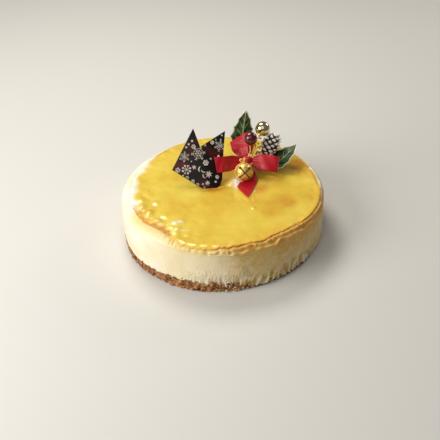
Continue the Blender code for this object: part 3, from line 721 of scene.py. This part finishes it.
def top_glaze():
    span = 100 * MM                # a vertex at t times this goes to t times the glaze's reach
    shares = [i / 44 * 0.80 for i in range(1, 45)] + [0.80 + 0.20 * i / 26 for i in range(1, 27)]
    profile = [(0, 1.0 * MM)] + [(t * span, 1.0 * MM) for t in shares]
    profile += [(t * span, -1.0 * MM) for t in (1.0, 0.97, 0.90, 0.5)] + [(0, -1.0 * MM)]
    piece = thrown(profile, TURN_STEPS)

    def place(co):
        """Place along the outline, distance in from the edge, bearing and place on the top."""
        distance, angle = polar(co)
        edge = glaze_edge(angle)
        w = edge * distance / span
        return w, max(0.0, edge - w), angle, warp(w, angle, CAKE_HEIGHT)

    def form(co):
        w, inward, angle, _ = place(co)
        radius, height = skin(w, angle)
        lean = shoulder_lean(w)
        if co.z > 0:
            burnt = window(angle, 198, 238, 8)
            bead = min(1.0, inward / ((1.1 + 1.2 * burnt) * MM))
            film = GLAZE_THICKNESS * (0.62 + 0.38 * math.exp(-inward / (5 * MM)))
            film *= 1 - 0.45 * burnt * math.exp(-inward / (3 * MM))
            film *= 1 - 0.75 * window(angle, 150, 196, 10) * math.exp(-inward / (4 * MM))
            depth = film * math.sqrt(1 - (1 - bead) ** 2) + 0.05 * MM
        else:
            depth = -0.5 * MM if inward > 1.2 * MM else 0.02 * MM - 0.5 * MM * inward / (1.2 * MM)
        there = warp(radius + depth * math.sin(lean), angle, height + depth * math.cos(lean))
        if co.z > 0:
            calm = smoothstep(inward, 0.0, 4 * MM)
            fine = noise.noise(there / (6 * MM))
            lumpy = noise.noise(there / (16 * MM)) + 0.5 * fine
            there.z += MM * (0.30 * lumpy + spots(there, GLAZE_BUMPS)) * calm
            there.z -= 0.8 * MM * spots(there, FOOT_DENTS)
            left = window(angle, 198, 246, 10) * smoothstep(w, 52 * MM, 60 * MM)
            there.z += 0.50 * MM * left * calm * noise.noise(there / (6 * MM))
        return there

    def rim(w, inward, angle, flat):
        """How far the jelly thickened to caramel."""
        burnt = max(0.8 * window(angle, 200, 238, 7), 0.85 * window(angle, 266, 318, 10),
                    0.40 * window(angle, 318, 355, 10), 0.20 * window(angle, 240, 275, 10),
                    0.35 * window(angle, -5, 60, 20), 0.50 * window(angle, 100, 150, 10))
        width = (0.9 + 1.2 * window(angle, 202, 238, 8)) * (1 + 0.7 * ring_noise(angle, 26, 6.6)) * MM
        line = 1 - smoothstep(inward, 0.35 * width, 1.5 * width)
        glow = 0.30 * (1 - smoothstep(inward, 2 * MM, 11 * MM))
        share = (line + glow) * burnt * (0.8 + 0.5 * ring_noise(angle, 40, 3.3))
        return min(1.0, share + spots(flat, SPECKS))

    def pale_edge_and_painted_highlight(w, inward, angle, flat):
        """How pale the glaze is painted: near-white where it thins at its left edge, partly as a painted
        highlight band over the shoulder, and white in spots that are painted highlights.
        """
        t = 1 - inward / glaze_edge(angle)
        ragged = max(1.0, 3.2 + 3.4 * ring_noise(angle, 8, 2.0 * t, 2.5)) * MM
        # Near-white fade at the left edge: thin glaze, partly a painted highlight band
        fade = window(angle, 152, 198, 12) * (1 - smoothstep(inward, 0.0, 1.9 * ragged))
        return max(fade, min(1.0, spots(flat, PAINTED_HIGHLIGHT_SPOTS)))

    places = measured(piece, place)
    mould(piece, form)
    for rule in (rim, pale_edge_and_painted_highlight):
        paint(piece, rule.__name__, [rule(*where) for where in places])
    paint(piece, "brown_and_plaque_shade", measured(piece, lambda co: min(1.0, spots(co, BROWN_AND_PLAQUE_SHADE_PATCHES))))
    return finish(piece, "top_glaze", glaze_finish(), "baked_cheese")


def loose_crumbs(name, surface, slot, count, span, seed):
    """Grains that cling to the foot of the cake: three kinds, each copied many times."""
    rng = random.Random(seed)
    kinds = []
    for i in range(3):
        grain = primitive("uv_sphere", segments=8, ring_count=6, radius=1.0)
        mould(grain, lambda co: co * (1 + 0.45 * noise.noise(co * 1.3 + Vector((7 * i, 0, 3)))))
        kinds.append(grain)
    pieces = []
    for _ in range(count):
        angle = rng.uniform(*span)
        covered = window(angle, *COVERED)
        size = rng.uniform(0.35, 1.05) * MM * (1 - 0.3 * covered)
        height = max(1.25 * size, rng.random() ** 1.5 * (crumb_edge(angle) + 0.8 * MM))
        radius = BASE_RADIUS - 0.42 * size - 1.0 * MM * covered + rng.uniform(-0.3, 0.3) * MM
        turn = Matrix.Rotation(rng.uniform(0, 6), 4, (rng.random(), rng.random(), 1))
        scale = Matrix.Diagonal((size, size * rng.uniform(0.6, 1), size * rng.uniform(0.5, 0.9), 1))
        place = Matrix.Translation(warp(radius, angle, height)) @ turn @ scale
        pieces.append(copy_of(rng.choice(kinds), place))
    for grain in kinds:
        discard(grain)
    piece = join(pieces)
    paint(piece, "toast_and_painted_light", [FLECK_TOAST] * len(piece.data.vertices))
    return finish(piece, name, bpy.data.materials[surface], slot, angle=50)


# Plaque and its print

def plaque_matrix():
    along = Vector((math.cos(PLAQUE_YAW), math.sin(PLAQUE_YAW), 0))
    front = Vector((math.sin(PLAQUE_YAW), -math.cos(PLAQUE_YAW), 0))
    normal = front * math.sin(PLAQUE_LEAN) + Vector((0, 0, 1)) * math.cos(PLAQUE_LEAN)
    return axes(along, normal.cross(along), PLAQUE_FOOT)


def cut_out(points, low, high):
    """A flat plate with the outline given: a disc whose corners are moved, then extruded."""
    piece = primitive("circle", vertices=len(points), radius=1, fill_type="NGON")
    for vertex, (x, y) in zip(piece.data.vertices, points):
        vertex.co = (x, y, low)
    with edited(piece):
        bpy.ops.mesh.extrude_region_move(TRANSFORM_OT_translate={"value": (0, 0, high - low)})
    return piece


def chocolate_plaque():
    half = PLAQUE_THICKNESS / 2
    piece = cut_out([(x * MM, y * MM) for x, y in PLAQUE_OUTLINE], -half, half)
    modify(piece, "BEVEL", width=0.25 * MM, segments=2, limit_method="ANGLE")
    piece.data.transform(plaque_matrix())
    return finish(piece, "printed_plaque", chocolate_finish(), "dark_chocolate", "chocolate_plaque",
                  angle=30)


# Shapes of the print, all for a flake whose radius is 1 and whose print is FLAKE_THICKNESS thick
FLAKE_THICKNESS = 0.04


def around(radius, turn):
    return radius * math.cos(turn), radius * math.sin(turn)


def disc(x, y, radius, thick, sides=14):
    ring = [around(radius, math.tau * i / sides) for i in range(sides)]
    return cut_out([(x + dx, y + dy) for dx, dy in ring], 0, thick)


def star(arms, inner):
    points = [around(inner if i % 2 else 1, math.pi * i / arms) for i in range(2 * arms)]
    return cut_out(points, 0, FLAKE_THICKNESS)


def crescent():
    outer = [around(1, math.radians(a)) for a in range(-75, 76, 15)]
    inner = [(x * 0.55 - 0.02, y) for x, y in reversed(outer[1:-1])]
    return cut_out([(x - 0.6, y) for x, y in outer + inner], 0, FLAKE_THICKNESS)


def flake(arms, start, middle, bars, discs=()):
    """The same bars and discs on each arm of a snowflake, with a disc in its middle.

    A bar has its distance from the middle, its turn from the arm, length, width, height and how
    much higher it is on each next arm. A disc has its distance, radius, height and the same.
    """
    parts = [disc(0, 0, middle, 0.045)] if middle else []
    for i in range(arms):
        for away, aside, length, width, thick, step in bars:
            turn = math.tau / arms * i + start + aside
            thick += step * i
            parts.append(settle(primitive("cube", size=1, location=(*around(away, turn), thick / 2),
                                          rotation=(0, 0, turn), scale=(length, width, thick))))
        for away, radius, thick, step in discs:
            parts.append(disc(*around(away, math.tau / arms * i + start), radius, thick + step * i))
    return join(parts)


# Print on the plaque: kind, place on it in mm, radius in mm, turn in degrees
FLAKES = (
    ("dot", -10.3, 35.7, 0.85, 0), ("star", -13.0, 33.6, 1.3, 10), ("flower", -9.7, 31.4, 1.8, 0),
    ("dot", -15.2, 31.4, 0.8, 0), ("filigree", -6.6, 26.0, 5.3, 0), ("filigree", -17.3, 24.6, 3.9, 20),
    ("filigree", 10.1, 29.9, 4.2, 12), ("flower", -1.9, 18.5, 2.4, 0), ("dot", 8.2, 22.4, 0.9, 0),
    ("star", 2.1, 21.0, 1.1, 0), ("petal", -16.9, 15.0, 3.8, 0), ("star", -11.0, 16.1, 2.0, 10),
    ("flower", -23.4, 15.2, 2.2, 10), ("crescent", -7.3, 14.4, 2.3, 165), ("crescent", -4.7, 12.2, 1.9, 235),
    ("crescent", -4.6, 8.6, 2.0, 200), ("bold", -0.7, 9.7, 3.0, 15), ("flower", 5.5, 7.0, 1.6, 0),
    ("dot", 3.9, 3.6, 0.8, 0), ("bold", -2.3, 3.3, 2.2, 40), ("flower", -17.1, 8.9, 1.5, 0),
    ("flower", -13.0, 5.9, 1.5, 20), ("flower", -9.9, 2.9, 1.4, 0), ("dot", -19.9, 11.0, 0.6, 0),
    ("star", -5.8, 2.8, 1.2, 0), ("star", -5.0, 0.3, 1.0, 20), ("star", -1.0, 31.4, 1.2, 15),
    ("flower", 4.7, 33.0, 1.7, 15), ("star", 12.6, 37.6, 0.9, 0), ("dot", 11.4, 34.6, 0.5, 0),
    ("star", 7.6, 34.8, 0.8, 0), ("dot", 8.9, 13.4, 0.7, 0), ("dot", -12.6, 20.6, 0.5, 0),
)


def plaque_print():
    between = math.pi / 6
    kinds = {
        "filigree": flake(6, 0.0, 0.0, (
            (0.5, 0.0, 1.0, 0.075, 0.030, 0.001), (0.94, 0.0, 0.065, 0.36, 0.040, 0.0),
            (0.36, between, 0.065, 0.42, 0.037, 0.0), (0.72, 0.0, 0.065, 0.44, 0.043, 0.0),
            (0.62, between, 0.24, 0.065, 0.046, 0.0))),
        "petal": flake(8, 0.26, 0.16, ((0.36, 0.0, 0.72, 0.085, 0.030, 0.001),),
                       ((0.76, 0.21, 0.040, 0.0),)),
        "flower": flake(6, 0.0, 0.20, ((0.30, 0.0, 0.40, 0.10, 0.030, 0.001),),
                        ((0.66, 0.30, 0.036, 0.001),)),
        "star": star(6, 0.42),
        "bold": star(7, 0.40),
        "dot": disc(0, 0, 1, FLAKE_THICKNESS, 18),
        "crescent": crescent(),
    }
    pieces = []
    for kind, x, y, radius, turn in FLAKES:
        place = Matrix.Translation(mm(x, y, PLAQUE_THICKNESS / MM / 2 - 0.02)) \
            @ Matrix.Rotation(math.radians(turn), 4, "Z") \
            @ Matrix.Diagonal((radius * MM, radius * MM, PRINT_THICKNESS / FLAKE_THICKNESS, 1))
        pieces.append(copy_of(kinds[kind], place))
    for piece in kinds.values():
        discard(piece)
    piece = join(pieces)
    trims = (((-27.5, 15.9), (-6.8, -0.1)), ((-8.3, 44.9), (-27.5, 15.9)), ((9.1, 5.1), (12.7, 26.6)),
             ((12.7, 26.6), (15.5, 40.6)), ((-6.8, -0.9), (6.6, -0.4)))
    with edited(piece):
        for (x0, y0), (x1, y1) in trims:
            outwards = Vector((y1 - y0, x0 - x1, 0)).normalized()
            bpy.ops.mesh.select_all(action="SELECT")
            bpy.ops.mesh.bisect(plane_co=mm(x0, y0, 0) - outwards * 0.25 * MM, plane_no=outwards,
                                use_fill=True, clear_outer=True)
    piece.data.transform(plaque_matrix())
    return finish(piece, "plaque_print", print_finish(), "dark_chocolate", angle=30)


# Ribbon

def cloth_grid(columns, rows):
    """A flat grid whose U runs along the piece and V across it, both from 0 to 1."""
    return settle(primitive("grid", x_subdivisions=columns, y_subdivisions=rows, size=1,
                            location=(0.5, 0.5, 0)))


def sheet(columns, rows, bend, thickness, bevel=0.0):
    piece = mould(cloth_grid(columns, rows), lambda co: bend(co.x, 2 * co.y - 1))
    modify(piece, "SOLIDIFY", thickness=thickness, offset=0.0)
    if bevel:
        modify(piece, "BEVEL", width=bevel, segments=2, limit_method="ANGLE",
               angle_limit=math.radians(60))
    return piece


def at_knot(x, y, z):
    way = Vector((x, y, z)).normalized()
    reach = 1 / math.sqrt(sum((way[i] / KNOT_RADII[i]) ** 2 for i in range(3)))
    return KNOT + way * (reach - 0.2 * MM)


def ribbon_loop(direction, across, length, swell, width, spread, seed, splay=0.0):
    frame_here = axes(direction, across, KNOT)
    opening = 0.85

    def bend(u, v):
        phi = opening + (2 * math.pi - 2 * opening) * u
        reach = (1 - math.cos(phi)) / 2
        swing = math.sin(phi) * math.sin(phi / 2)
        half = width / 2 * (0.52 + 0.48 * smoothstep(reach, 0.12, spread))
        crown = 1 - 0.10 * v * v * (1 - reach)
        pleat = 0.45 * MM * math.sin(7 * v + seed) * (1 - smoothstep(reach, 0.10, 0.70))
        slack = 0.25 * MM * noise.noise(Vector((5 * u + seed, 2.0 * v, seed)))
        side = 1 if phi < math.pi else -1
        crease = 0.42 * MM * math.sin(13 * reach + 2.2 * v + seed) * smoothstep(reach, 0.30, 0.6)
        crease *= 1 - smoothstep(reach, 0.93, 1.0)
        aside = splay * max(0.0, swing)
        return frame_here @ Vector((length * reach, v * half + aside,
                                    swell * swing * crown + side * (pleat + crease) + slack))

    return sheet(90, 14, bend, RIBBON_THICKNESS, 0.12 * MM)


def ribbon_tail(middle, sides, slant, pinched, seed):
    def bend(u, v):
        pinch = pinched + (1 - pinched) * smoothstep(u, 0.0, 0.35)
        along = u + slant * v * smoothstep(u, 0.3, 1.0)
        width = path_point(sides, u).normalized() * RIBBON_WIDTH / 2 * pinch
        place = path_point(middle, min(max(along, 0.0), 1.1)) + v * width
        ahead = path_point(middle, min(u + 0.02, 1.0)) - path_point(middle, u - 0.02)
        up = ahead.cross(width).normalized()
        pleat = 0.40 * MM * math.sin(6 * v + seed) * (1 - smoothstep(u, 0.05, 0.55))
        slack = 0.20 * MM * noise.noise(Vector((4 * u + seed, 1.5 * v, seed)))
        slack += 0.22 * MM * math.sin(17 * u + 2.2 * v + seed) * smoothstep(u, 0.15, 0.4)
        return place + up * (pleat + slack)

    return sheet(60, 14, bend, RIBBON_THICKNESS, 0.12 * MM)


def ribbon_knot():
    """The wrap round the bow's middle: a ball pressed into a bundle with pleats round it."""
    piece = primitive("uv_sphere", segments=48, ring_count=32, radius=1)

    def form(co):
        pleats = 1 + 0.07 * math.sin(9 * math.atan2(co.z, co.y) + 1.2 * co.x) * (1 - abs(co.x))
        waist = 1 - 0.12 * (1 - co.x ** 2) * noise.noise(co * 1.5)
        return KNOT + Vector((co.x * KNOT_RADII.x, co.y * KNOT_RADII.y * pleats * waist,
                              co.z * KNOT_RADII.z * pleats * waist))

    return mould(piece, form)


# Holly

def holly_leaf(midrib, across, width, pointed):
    """pointed is 1 for a leaf that narrows all the way to its tip, and 0 for an oval one."""
    stalk_share = 4 / 24
    stalk = 2 / (len(midrib) - 1)

    def half_width(u):
        if u <= stalk_share:
            return 0.6 * MM
        t = (u - stalk_share) / (1 - stalk_share)
        spine = (4 * t) % 1.0 if t < 1 else 0.0
        oval = max(0.0, math.sin(math.pi * min(1.0, 0.10 + 0.90 * t) ** 0.85)) ** 0.75
        arrow = min(0.97, 1.25 * max(0.0, 1 - t) ** 0.65) * smoothstep(t, -0.10, 0.16)
        scallop = 1 - LEAF_SCALLOP * math.sin(math.pi * spine) ** 0.7
        half = width / 2 * (oval + (arrow - oval) * pointed)
        return max(0.35 * MM, half * scallop * smoothstep(t, -0.10, 0.06))

    def bend(u, v):
        if u <= stalk_share:
            along = u / stalk_share * stalk
        else:
            along = stalk + (1 - stalk) * (u - stalk_share) / (1 - stalk_share)
        half = half_width(u)
        ahead = path_point(midrib, min(along + 0.02, 1.0)) - path_point(midrib, along - 0.02)
        frame_here = axes(ahead, across, path_point(midrib, along))
        wave = 0.8 * MM * math.sin(12 * along) * v * v * smoothstep(along, stalk, 1.0)
        blade = smoothstep(along, stalk, stalk + 0.15)
        rib = -0.25 * MM * math.exp(-(v / 0.10) ** 2) * blade
        quilt = 0.22 * MM * math.cos(26 * along - 5 * abs(v)) * (1 - abs(v)) * abs(v) * 4 * blade
        return frame_here @ Vector((0, v * half, 0.18 * abs(v) * half + wave + rib + quilt))

    def pale(co):
        """How pale the leaf is: along its edge, its rib and its veins."""
        u, v = co.x, abs(2 * co.y - 1)
        t = max(0.0, (u - stalk_share) / (1 - stalk_share))
        half = max(half_width(u), 1.0 * MM)
        edge = 1 - smoothstep((1 - v) * half, 0.40 * MM, 0.85 * MM)
        rib = 0.6 * (1 - smoothstep(v * half, 0.12 * MM, 0.40 * MM))
        vein = abs(((5 * t - 1.3 * v) % 1.0) - 0.5)
        vein = 0.30 * (1 - smoothstep(vein, 0.03, 0.10)) * (1 - smoothstep(v, 0.4, 0.8))
        return max(edge, rib, vein) if t > 0 else 0.3

    piece = cloth_grid(120, 24)
    paint(piece, "pale", measured(piece, pale))
    mould(piece, lambda co: bend(co.x, 2 * co.y - 1))
    modify(piece, "SOLIDIFY", thickness=LEAF_THICKNESS, offset=0.0)
    modify(piece, "TRIANGULATE", quad_method="FIXED")
    return piece


# Bell, ball, berry, cone, wires

def bell():
    """A jingle bell: a turned shell with a rolled seam, a cross of slots and a ring round it."""
    seam = 0.3 * MM
    wall = 0.6 * MM
    rows = 14
    dome = [(BELL_RADIUS * math.sin(math.pi / 2 * i / rows),
             BELL_RADIUS * math.cos(math.pi / 2 * i / rows)) for i in range(rows)]
    belt = [(BELL_RADIUS, 2.0 * seam), (BELL_RADIUS + 0.9 * seam, 1.5 * seam),
            (BELL_RADIUS + seam, 0.6 * seam)]
    upper = dome + belt
    piece = thrown(upper + [(r, -z) for r, z in reversed(upper)], 56)
    carve(piece, primitive("uv_sphere", segments=40, ring_count=24, radius=BELL_RADIUS - wall))
    for turn in (math.radians(40), math.radians(130)):
        carve(piece, settle(primitive(
            "cube", size=1, location=(0, 0, BELL_RADIUS), rotation=(0, 0, turn),
            scale=(1.5 * BELL_RADIUS, 1.0 * MM, 1.24 * BELL_RADIUS))))
        for reach in (-0.72 * BELL_RADIUS, 0.72 * BELL_RADIUS):
            carve(piece, settle(primitive(
                "cylinder", vertices=20, radius=0.95 * MM, depth=BELL_RADIUS,
                location=(*around(reach, turn), 0.75 * BELL_RADIUS))))
    piece.data.transform(turn_to(BELL_AXIS, BELL_CENTRE))
    return piece


def bell_ball():
    """The loose ball inside the bell."""
    return settle(primitive("ico_sphere", subdivisions=3, radius=2.2 * MM,
                            location=BELL_CENTRE - mm(0, 0, 3.4)))


def round_piece(radius, centre, way, dimple):
    """A ball that is drawn in a little where its wire enters it, with a short collar there."""
    piece = primitive("uv_sphere", segments=64, ring_count=40, radius=radius)
    mould(piece, lambda co: co - Vector((0, 0, dimple * smoothstep(co.z / radius, 0.90, 1.0))))
    collar = thrown([(0, radius + 0.2 * MM), (0.8 * MM, radius + 0.2 * MM), (1.1 * MM, radius),
                     (1.1 * MM, radius - 1.4 * MM), (0, radius - 1.4 * MM)], 20)
    piece = join([piece, collar])
    piece.data.transform(turn_to(way, centre))
    return piece


def pine_cone():
    half = 0.46 * CONE_LENGTH
    core = thrown([(CONE_GIRTH * math.sin(math.pi * i / 16), half * math.cos(math.pi * i / 16))
                   for i in range(17)], 24)
    scale = primitive("uv_sphere", segments=12, ring_count=8, radius=1)

    def form(co):
        thick = 0.16 + 0.14 * smoothstep(co.x, 0.1, 0.8)
        tongue = 0.50 + 0.50 * smoothstep(co.x, -1.0, 0.4)
        return Vector((co.x * 1.15, co.y * 0.74 * tongue, co.z * thick + 0.10 * co.x ** 2))

    mould(scale, form)
    paint(scale, "tip", measured(scale, lambda co: smoothstep(co.x, 0.0, 0.5)))
    paint(core, "tip", measured(core, lambda co: 0.0))
    pieces = [core]
    for i in range(CONE_SCALES):
        t = (i + 0.5) / CONE_SCALES
        height = half * (1.86 * t - 0.93)
        reach = CONE_GIRTH * math.sqrt(1 - (height / half) ** 2)
        size = (2.7 - 0.7 * t) * (1 + 0.12 * math.sin(5.1 * i)) * MM
        seat = Matrix.Translation((reach - 0.10 * size, 0, height))
        tilt = Matrix.Rotation(-math.radians(24 + 44 * t), 4, "Y")
        spin = Matrix.Rotation(i * GOLDEN_ANGLE, 4, "Z")
        pieces.append(copy_of(scale, spin @ seat @ tilt @ Matrix.Scale(size, 4)))
    discard(scale)
    piece = join(pieces)
    piece.data.transform(turn_to(CONE_AXIS, CONE_CENTRE))
    return piece


def wire(points, radius, steps=10):
    """A bent wire: a curve with a round section, made a mesh."""
    count = (len(points) - 1) * steps
    curve = bpy.data.curves.new("wire", "CURVE")
    curve.dimensions = "3D"
    curve.bevel_depth = radius
    curve.bevel_resolution = 3
    curve.use_fill_caps = True
    spline = curve.splines.new("POLY")
    spline.points.add(count)
    for i, point in enumerate(spline.points):
        point.co = (*path_point(points, i / count), 1)
    piece = bpy.data.objects.new("wire", curve)
    bpy.context.collection.objects.link(piece)
    grab(piece)
    bpy.ops.object.convert(target="MESH")
    piece = bpy.context.object
    with edited(piece):
        bpy.ops.mesh.remove_doubles(threshold=0.001 * MM)
    return piece


def curly_wire():
    start, low = at_knot(4.0, 2.0, 1.8), BALL_WIRE_START
    toward = (BALL_CENTRE - low).normalized()
    high = BALL_CENTRE - toward * BALL_RADIUS
    frame_here = turn_to(toward, Vector((0, 0, 0)))
    turns, count, radius = 2, 26, 2.0 * MM
    points = [start, (start + low) / 2 + mm(0.3, -0.3, 0)]
    for i in range(count + 1):
        u = i / count
        curl = radius * math.sin(math.pi * u) ** 0.5 if 0 < i < count else 0.0
        angle = 2 * math.pi * turns * u
        swing = frame_here @ Vector((*around(curl, angle), 0))
        points.append(low + (high - low) * u + swing)
    return wire(points, WIRE_RADIUS, steps=4)


def gold_thread():
    """The thread that ties the bell to the knot: two small loops round the bell's ring."""
    centre = BELL_CENTRE + SIGHT_UP * (BELL_RADIUS + 1.9 * MM) + mm(-1.6, -0.6, 0)
    points = []
    for i in range(33):
        a = math.tau * i / 16
        swing = 1.3 + 0.5 * math.sin(1.5 * a)
        points.append(centre + mm(swing * math.cos(a), 0.35 * i / 8 - 0.6, swing * math.sin(a)))
    return wire(points, 0.28 * MM, steps=3)


def foil_strip():
    foil = [mm(24.3, 26.2, 48.8), mm(25.2, 26.1, 52.5), mm(26.2, 26.6, 56.8)]

    def bend(u, v):
        crease = 0.45 * MM * noise.noise(Vector((9 * u, 3 * v, 1.7)))
        return path_point(foil, u) + Vector((2.0 * MM * v, 0.6 * MM * math.sin(9 * u) + crease, 0))

    return sheet(40, 12, bend, 0.12 * MM)


def ornament():
    satin = satin_finish()
    gilt = gilt_finish("gilded_brass", "#FFD984", 0.34, 0.0013, 0.00060, metallic=0.55)
    mirror = gilt_finish("champagne_mirror_gilding", "#F6EBC4", 0.10, 0.0060, 0.00004)
    foil = gilt_finish("crinkled_gold_foil", "#FFF0C4", 0.34, 0.0012, 0.00030, metallic=0.7)
    leaf = leaf_finish()

    finish(ribbon_knot(), "bow_wrap", satin, "red_satin", "ribbon_knot")
    piece = ribbon_loop(Vector((25.0, -3.0, -2.0)), SIGHT_UP, 24.2 * MM, 5.0 * MM, RIBBON_WIDTH,
                        0.42, 1.0)
    finish(piece, "bow_loop_right", satin, "red_satin", "ribbon_loop_right")
    piece = ribbon_loop(Vector((-6.8, 16.5, 10.2)), Vector((12.2, 0.0, 10.0)), 20.5 * MM, 3.6 * MM,
                        14.5 * MM, 0.60, 2.4, splay=4.2 * MM)
    finish(piece, "bow_loop_back", satin, "red_satin", "ribbon_loop_back")
    left = [at_knot(-5.0, -1.2, -0.2), KNOT + mm(-12.2, -7.3, 1.8), KNOT + mm(-18.2, -11.6, 3.7),
            KNOT + mm(-23.8, -13.4, 4.3)]
    piece = ribbon_tail(left, [SIGHT_UP + Vector((0.1, 0, 0))] * 4, 0.10, 0.62, 0.7)
    finish(piece, "bow_tail_left", satin, "red_satin", "ribbon_tail_left")
    on_top = (CAKE_HEIGHT + TOP_SLOPE * KNOT.x) / MM + 0.9
    front = [at_knot(1.6, -3.6, -3.0) + mm(0.4, -0.6, -0.6), mm(18.7, 13.8, 38.8),
             mm(18.0, 9.5, on_top + 0.3), mm(15.9, 2.5, on_top + 0.2), mm(12.4, -7.3, on_top + 0.9)]
    flat, turned_up = Vector((0.96, -0.27, -0.028)), Vector((0.93, -0.30, -0.12))
    piece = ribbon_tail(front, [flat, flat, flat, flat, turned_up], 0.12, 0.50, 2.0)
    finish(piece, "bow_tail_front", satin, "red_satin", "ribbon_tail_front")

    midrib = [at_knot(-0.5, 4.5, -0.6), mm(13.5, 33.0, 46.0), mm(12.3, 40.0, 48.5),
              mm(13.0, 42.0, 57.5), mm(14.2, 44.0, 67.5), mm(15.3, 45.0, 77.1)]
    piece = holly_leaf(midrib, Vector((1, 0.05, 0.05)), 20.0 * MM, 1.0)
    finish(piece, "holly_back", leaf, "holly_green", "holly_leaf_back", angle=60)
    midrib = [at_knot(3.2, 3.2, -2.8), mm(28.5, 27.5, 39.7), mm(35.2, 27.6, 38.6),
              mm(41.5, 30.0, 41.2), mm(48.0, 33.5, 45.9), mm(54.4, 38.0, 51.3)]
    piece = holly_leaf(midrib, Vector((-0.30, 0.93, 0.14)), 20.5 * MM, 0.0)
    finish(piece, "holly_right", leaf, "holly_green", "holly_leaf_right", angle=60)

    finish(bell(), "jingle_bell", gilt, "gold", "bell", angle=35)
    finish(bell_ball(), "jingle_bell_pea", gilt, "gold")
    way = (BALL_WIRE_START - BALL_CENTRE).normalized()
    finish(round_piece(BALL_RADIUS, BALL_CENTRE, way, 0.3 * MM), "mirror_ball", mirror, "gold",
           "gold_ball")
    way = (KNOT + mm(1.2, 0.4, 5.0) - BERRY_CENTRE).normalized()
    finish(round_piece(BERRY_RADIUS, BERRY_CENTRE, way, 0.5 * MM), "lacquered_berry", berry_finish(),
           "berry_red", "red_berry")
    finish(pine_cone(), "tipped_cone", cone_finish(), "cone_brown", "pine_cone", angle=50)
    finish(curly_wire(), "curled_ball_wire", gilt, "gold", "gold_wire_ball", angle=60)
    berry_end = BERRY_CENTRE + way * BERRY_RADIUS
    finish(wire([at_knot(0.9, 0.5, 3.6), mm(18.6, 22.6, 54.8), berry_end], WIRE_RADIUS),
           "berry_wire", gilt, "gold", "gold_wire_berry", angle=60)
    finish(gold_thread(), "bell_thread", gilt, "gold", angle=60)
    finish(foil_strip(), "crinkled_foil", foil, "gold", "gold_foil_strip", angle=30)
    return gilt


def dress_solids(gilt):
    """The solids that stay in sight get their own finishes."""
    bark = Finish("brown_wire_wrap", "#3C281C", roughness=0.7).material
    for name, surface in (("ornament_pick", gilt), ("bell_ring", gilt), ("cone_wire", bark)):
        for slot in bpy.data.objects[name].material_slots:
            slot.material = surface


# Stage: floor, light and camera

def area_light(name, place, size, power, colour="#FFFFFF"):
    light = bpy.data.lights.new(name, "AREA")
    light.shape = "DISK"
    light.size = size
    light.energy = power
    light.color = linear(colour)[:3]
    made = bpy.data.objects.new(name, light)
    bpy.context.collection.objects.link(made)
    made.location = place
    made.rotation_euler = (Vector((0, 0, 0.03)) - Vector(place)).to_track_quat("-Z", "Y").to_euler()


def stage():
    floor = settle(primitive("plane", size=6, location=(0, 0, -0.3 * MM)))
    floor.name = "floor"
    floor.data.materials.append(Finish("pale_floor", "#D8D8D6", roughness=0.9).material)

    bpy.context.scene.view_settings.view_transform = "Standard"
    area_light("key", (-0.55, -0.30, 0.40), 0.45, 4.2, "#FFFAF2")
    area_light("top", (-0.20, 0.34, 0.62), 0.34, 2.8, "#FFF8EC")
    area_light("rim", (0.55, 0.50, 0.40), 0.25, 0.9, "#FFF6E8")
    area_light("fill", (-0.15, -0.75, 0.95), 1.10, 2.1)
    world = bpy.data.worlds.new("studio")
    bpy.context.scene.world = world
    world.use_nodes = True
    backdrop = world.node_tree.nodes["Background"]
    backdrop.inputs["Color"].default_value = linear("#CFCAC0")
    backdrop.inputs["Strength"].default_value = 0.22

    camera = bpy.data.objects.new("camera", bpy.data.cameras.new("camera"))
    bpy.context.collection.objects.link(camera)
    elevation, distance, target = math.radians(36.2), 0.602, Vector((0, 0, 0.018))
    place = target + Vector((0, -math.cos(elevation), math.sin(elevation))) * distance
    look = (target - place).to_track_quat("-Z", "Y").to_matrix()
    turn = look @ Matrix.Rotation(math.radians(0.3), 3, "Z")
    camera.matrix_world = Matrix.Translation(place) @ turn.to_4x4()
    # The lens's focal length and where its axis meets the picture, all in pixels
    across, focal, axis = 440, 790.0, (225.5, 207.7)
    camera.data.lens = focal / across * camera.data.sensor_width
    camera.data.shift_x = (across / 2 - axis[0]) / across
    camera.data.shift_y = (axis[1] - across / 2) / across
    camera.data.clip_start = 0.01
    bpy.context.scene.camera = camera


crumb_layer()
cheese_body()
top_glaze()
loose_crumbs("clinging_crumbs", "buttered_biscuit_crumb", "baked_crumb", 420, (0, 360), 5)
loose_crumbs("cheese_flecks", "baked_cheese_curd", "baked_cheese", 75, (266, 316), 8)
chocolate_plaque()
plaque_print()
dress_solids(ornament())
stage()
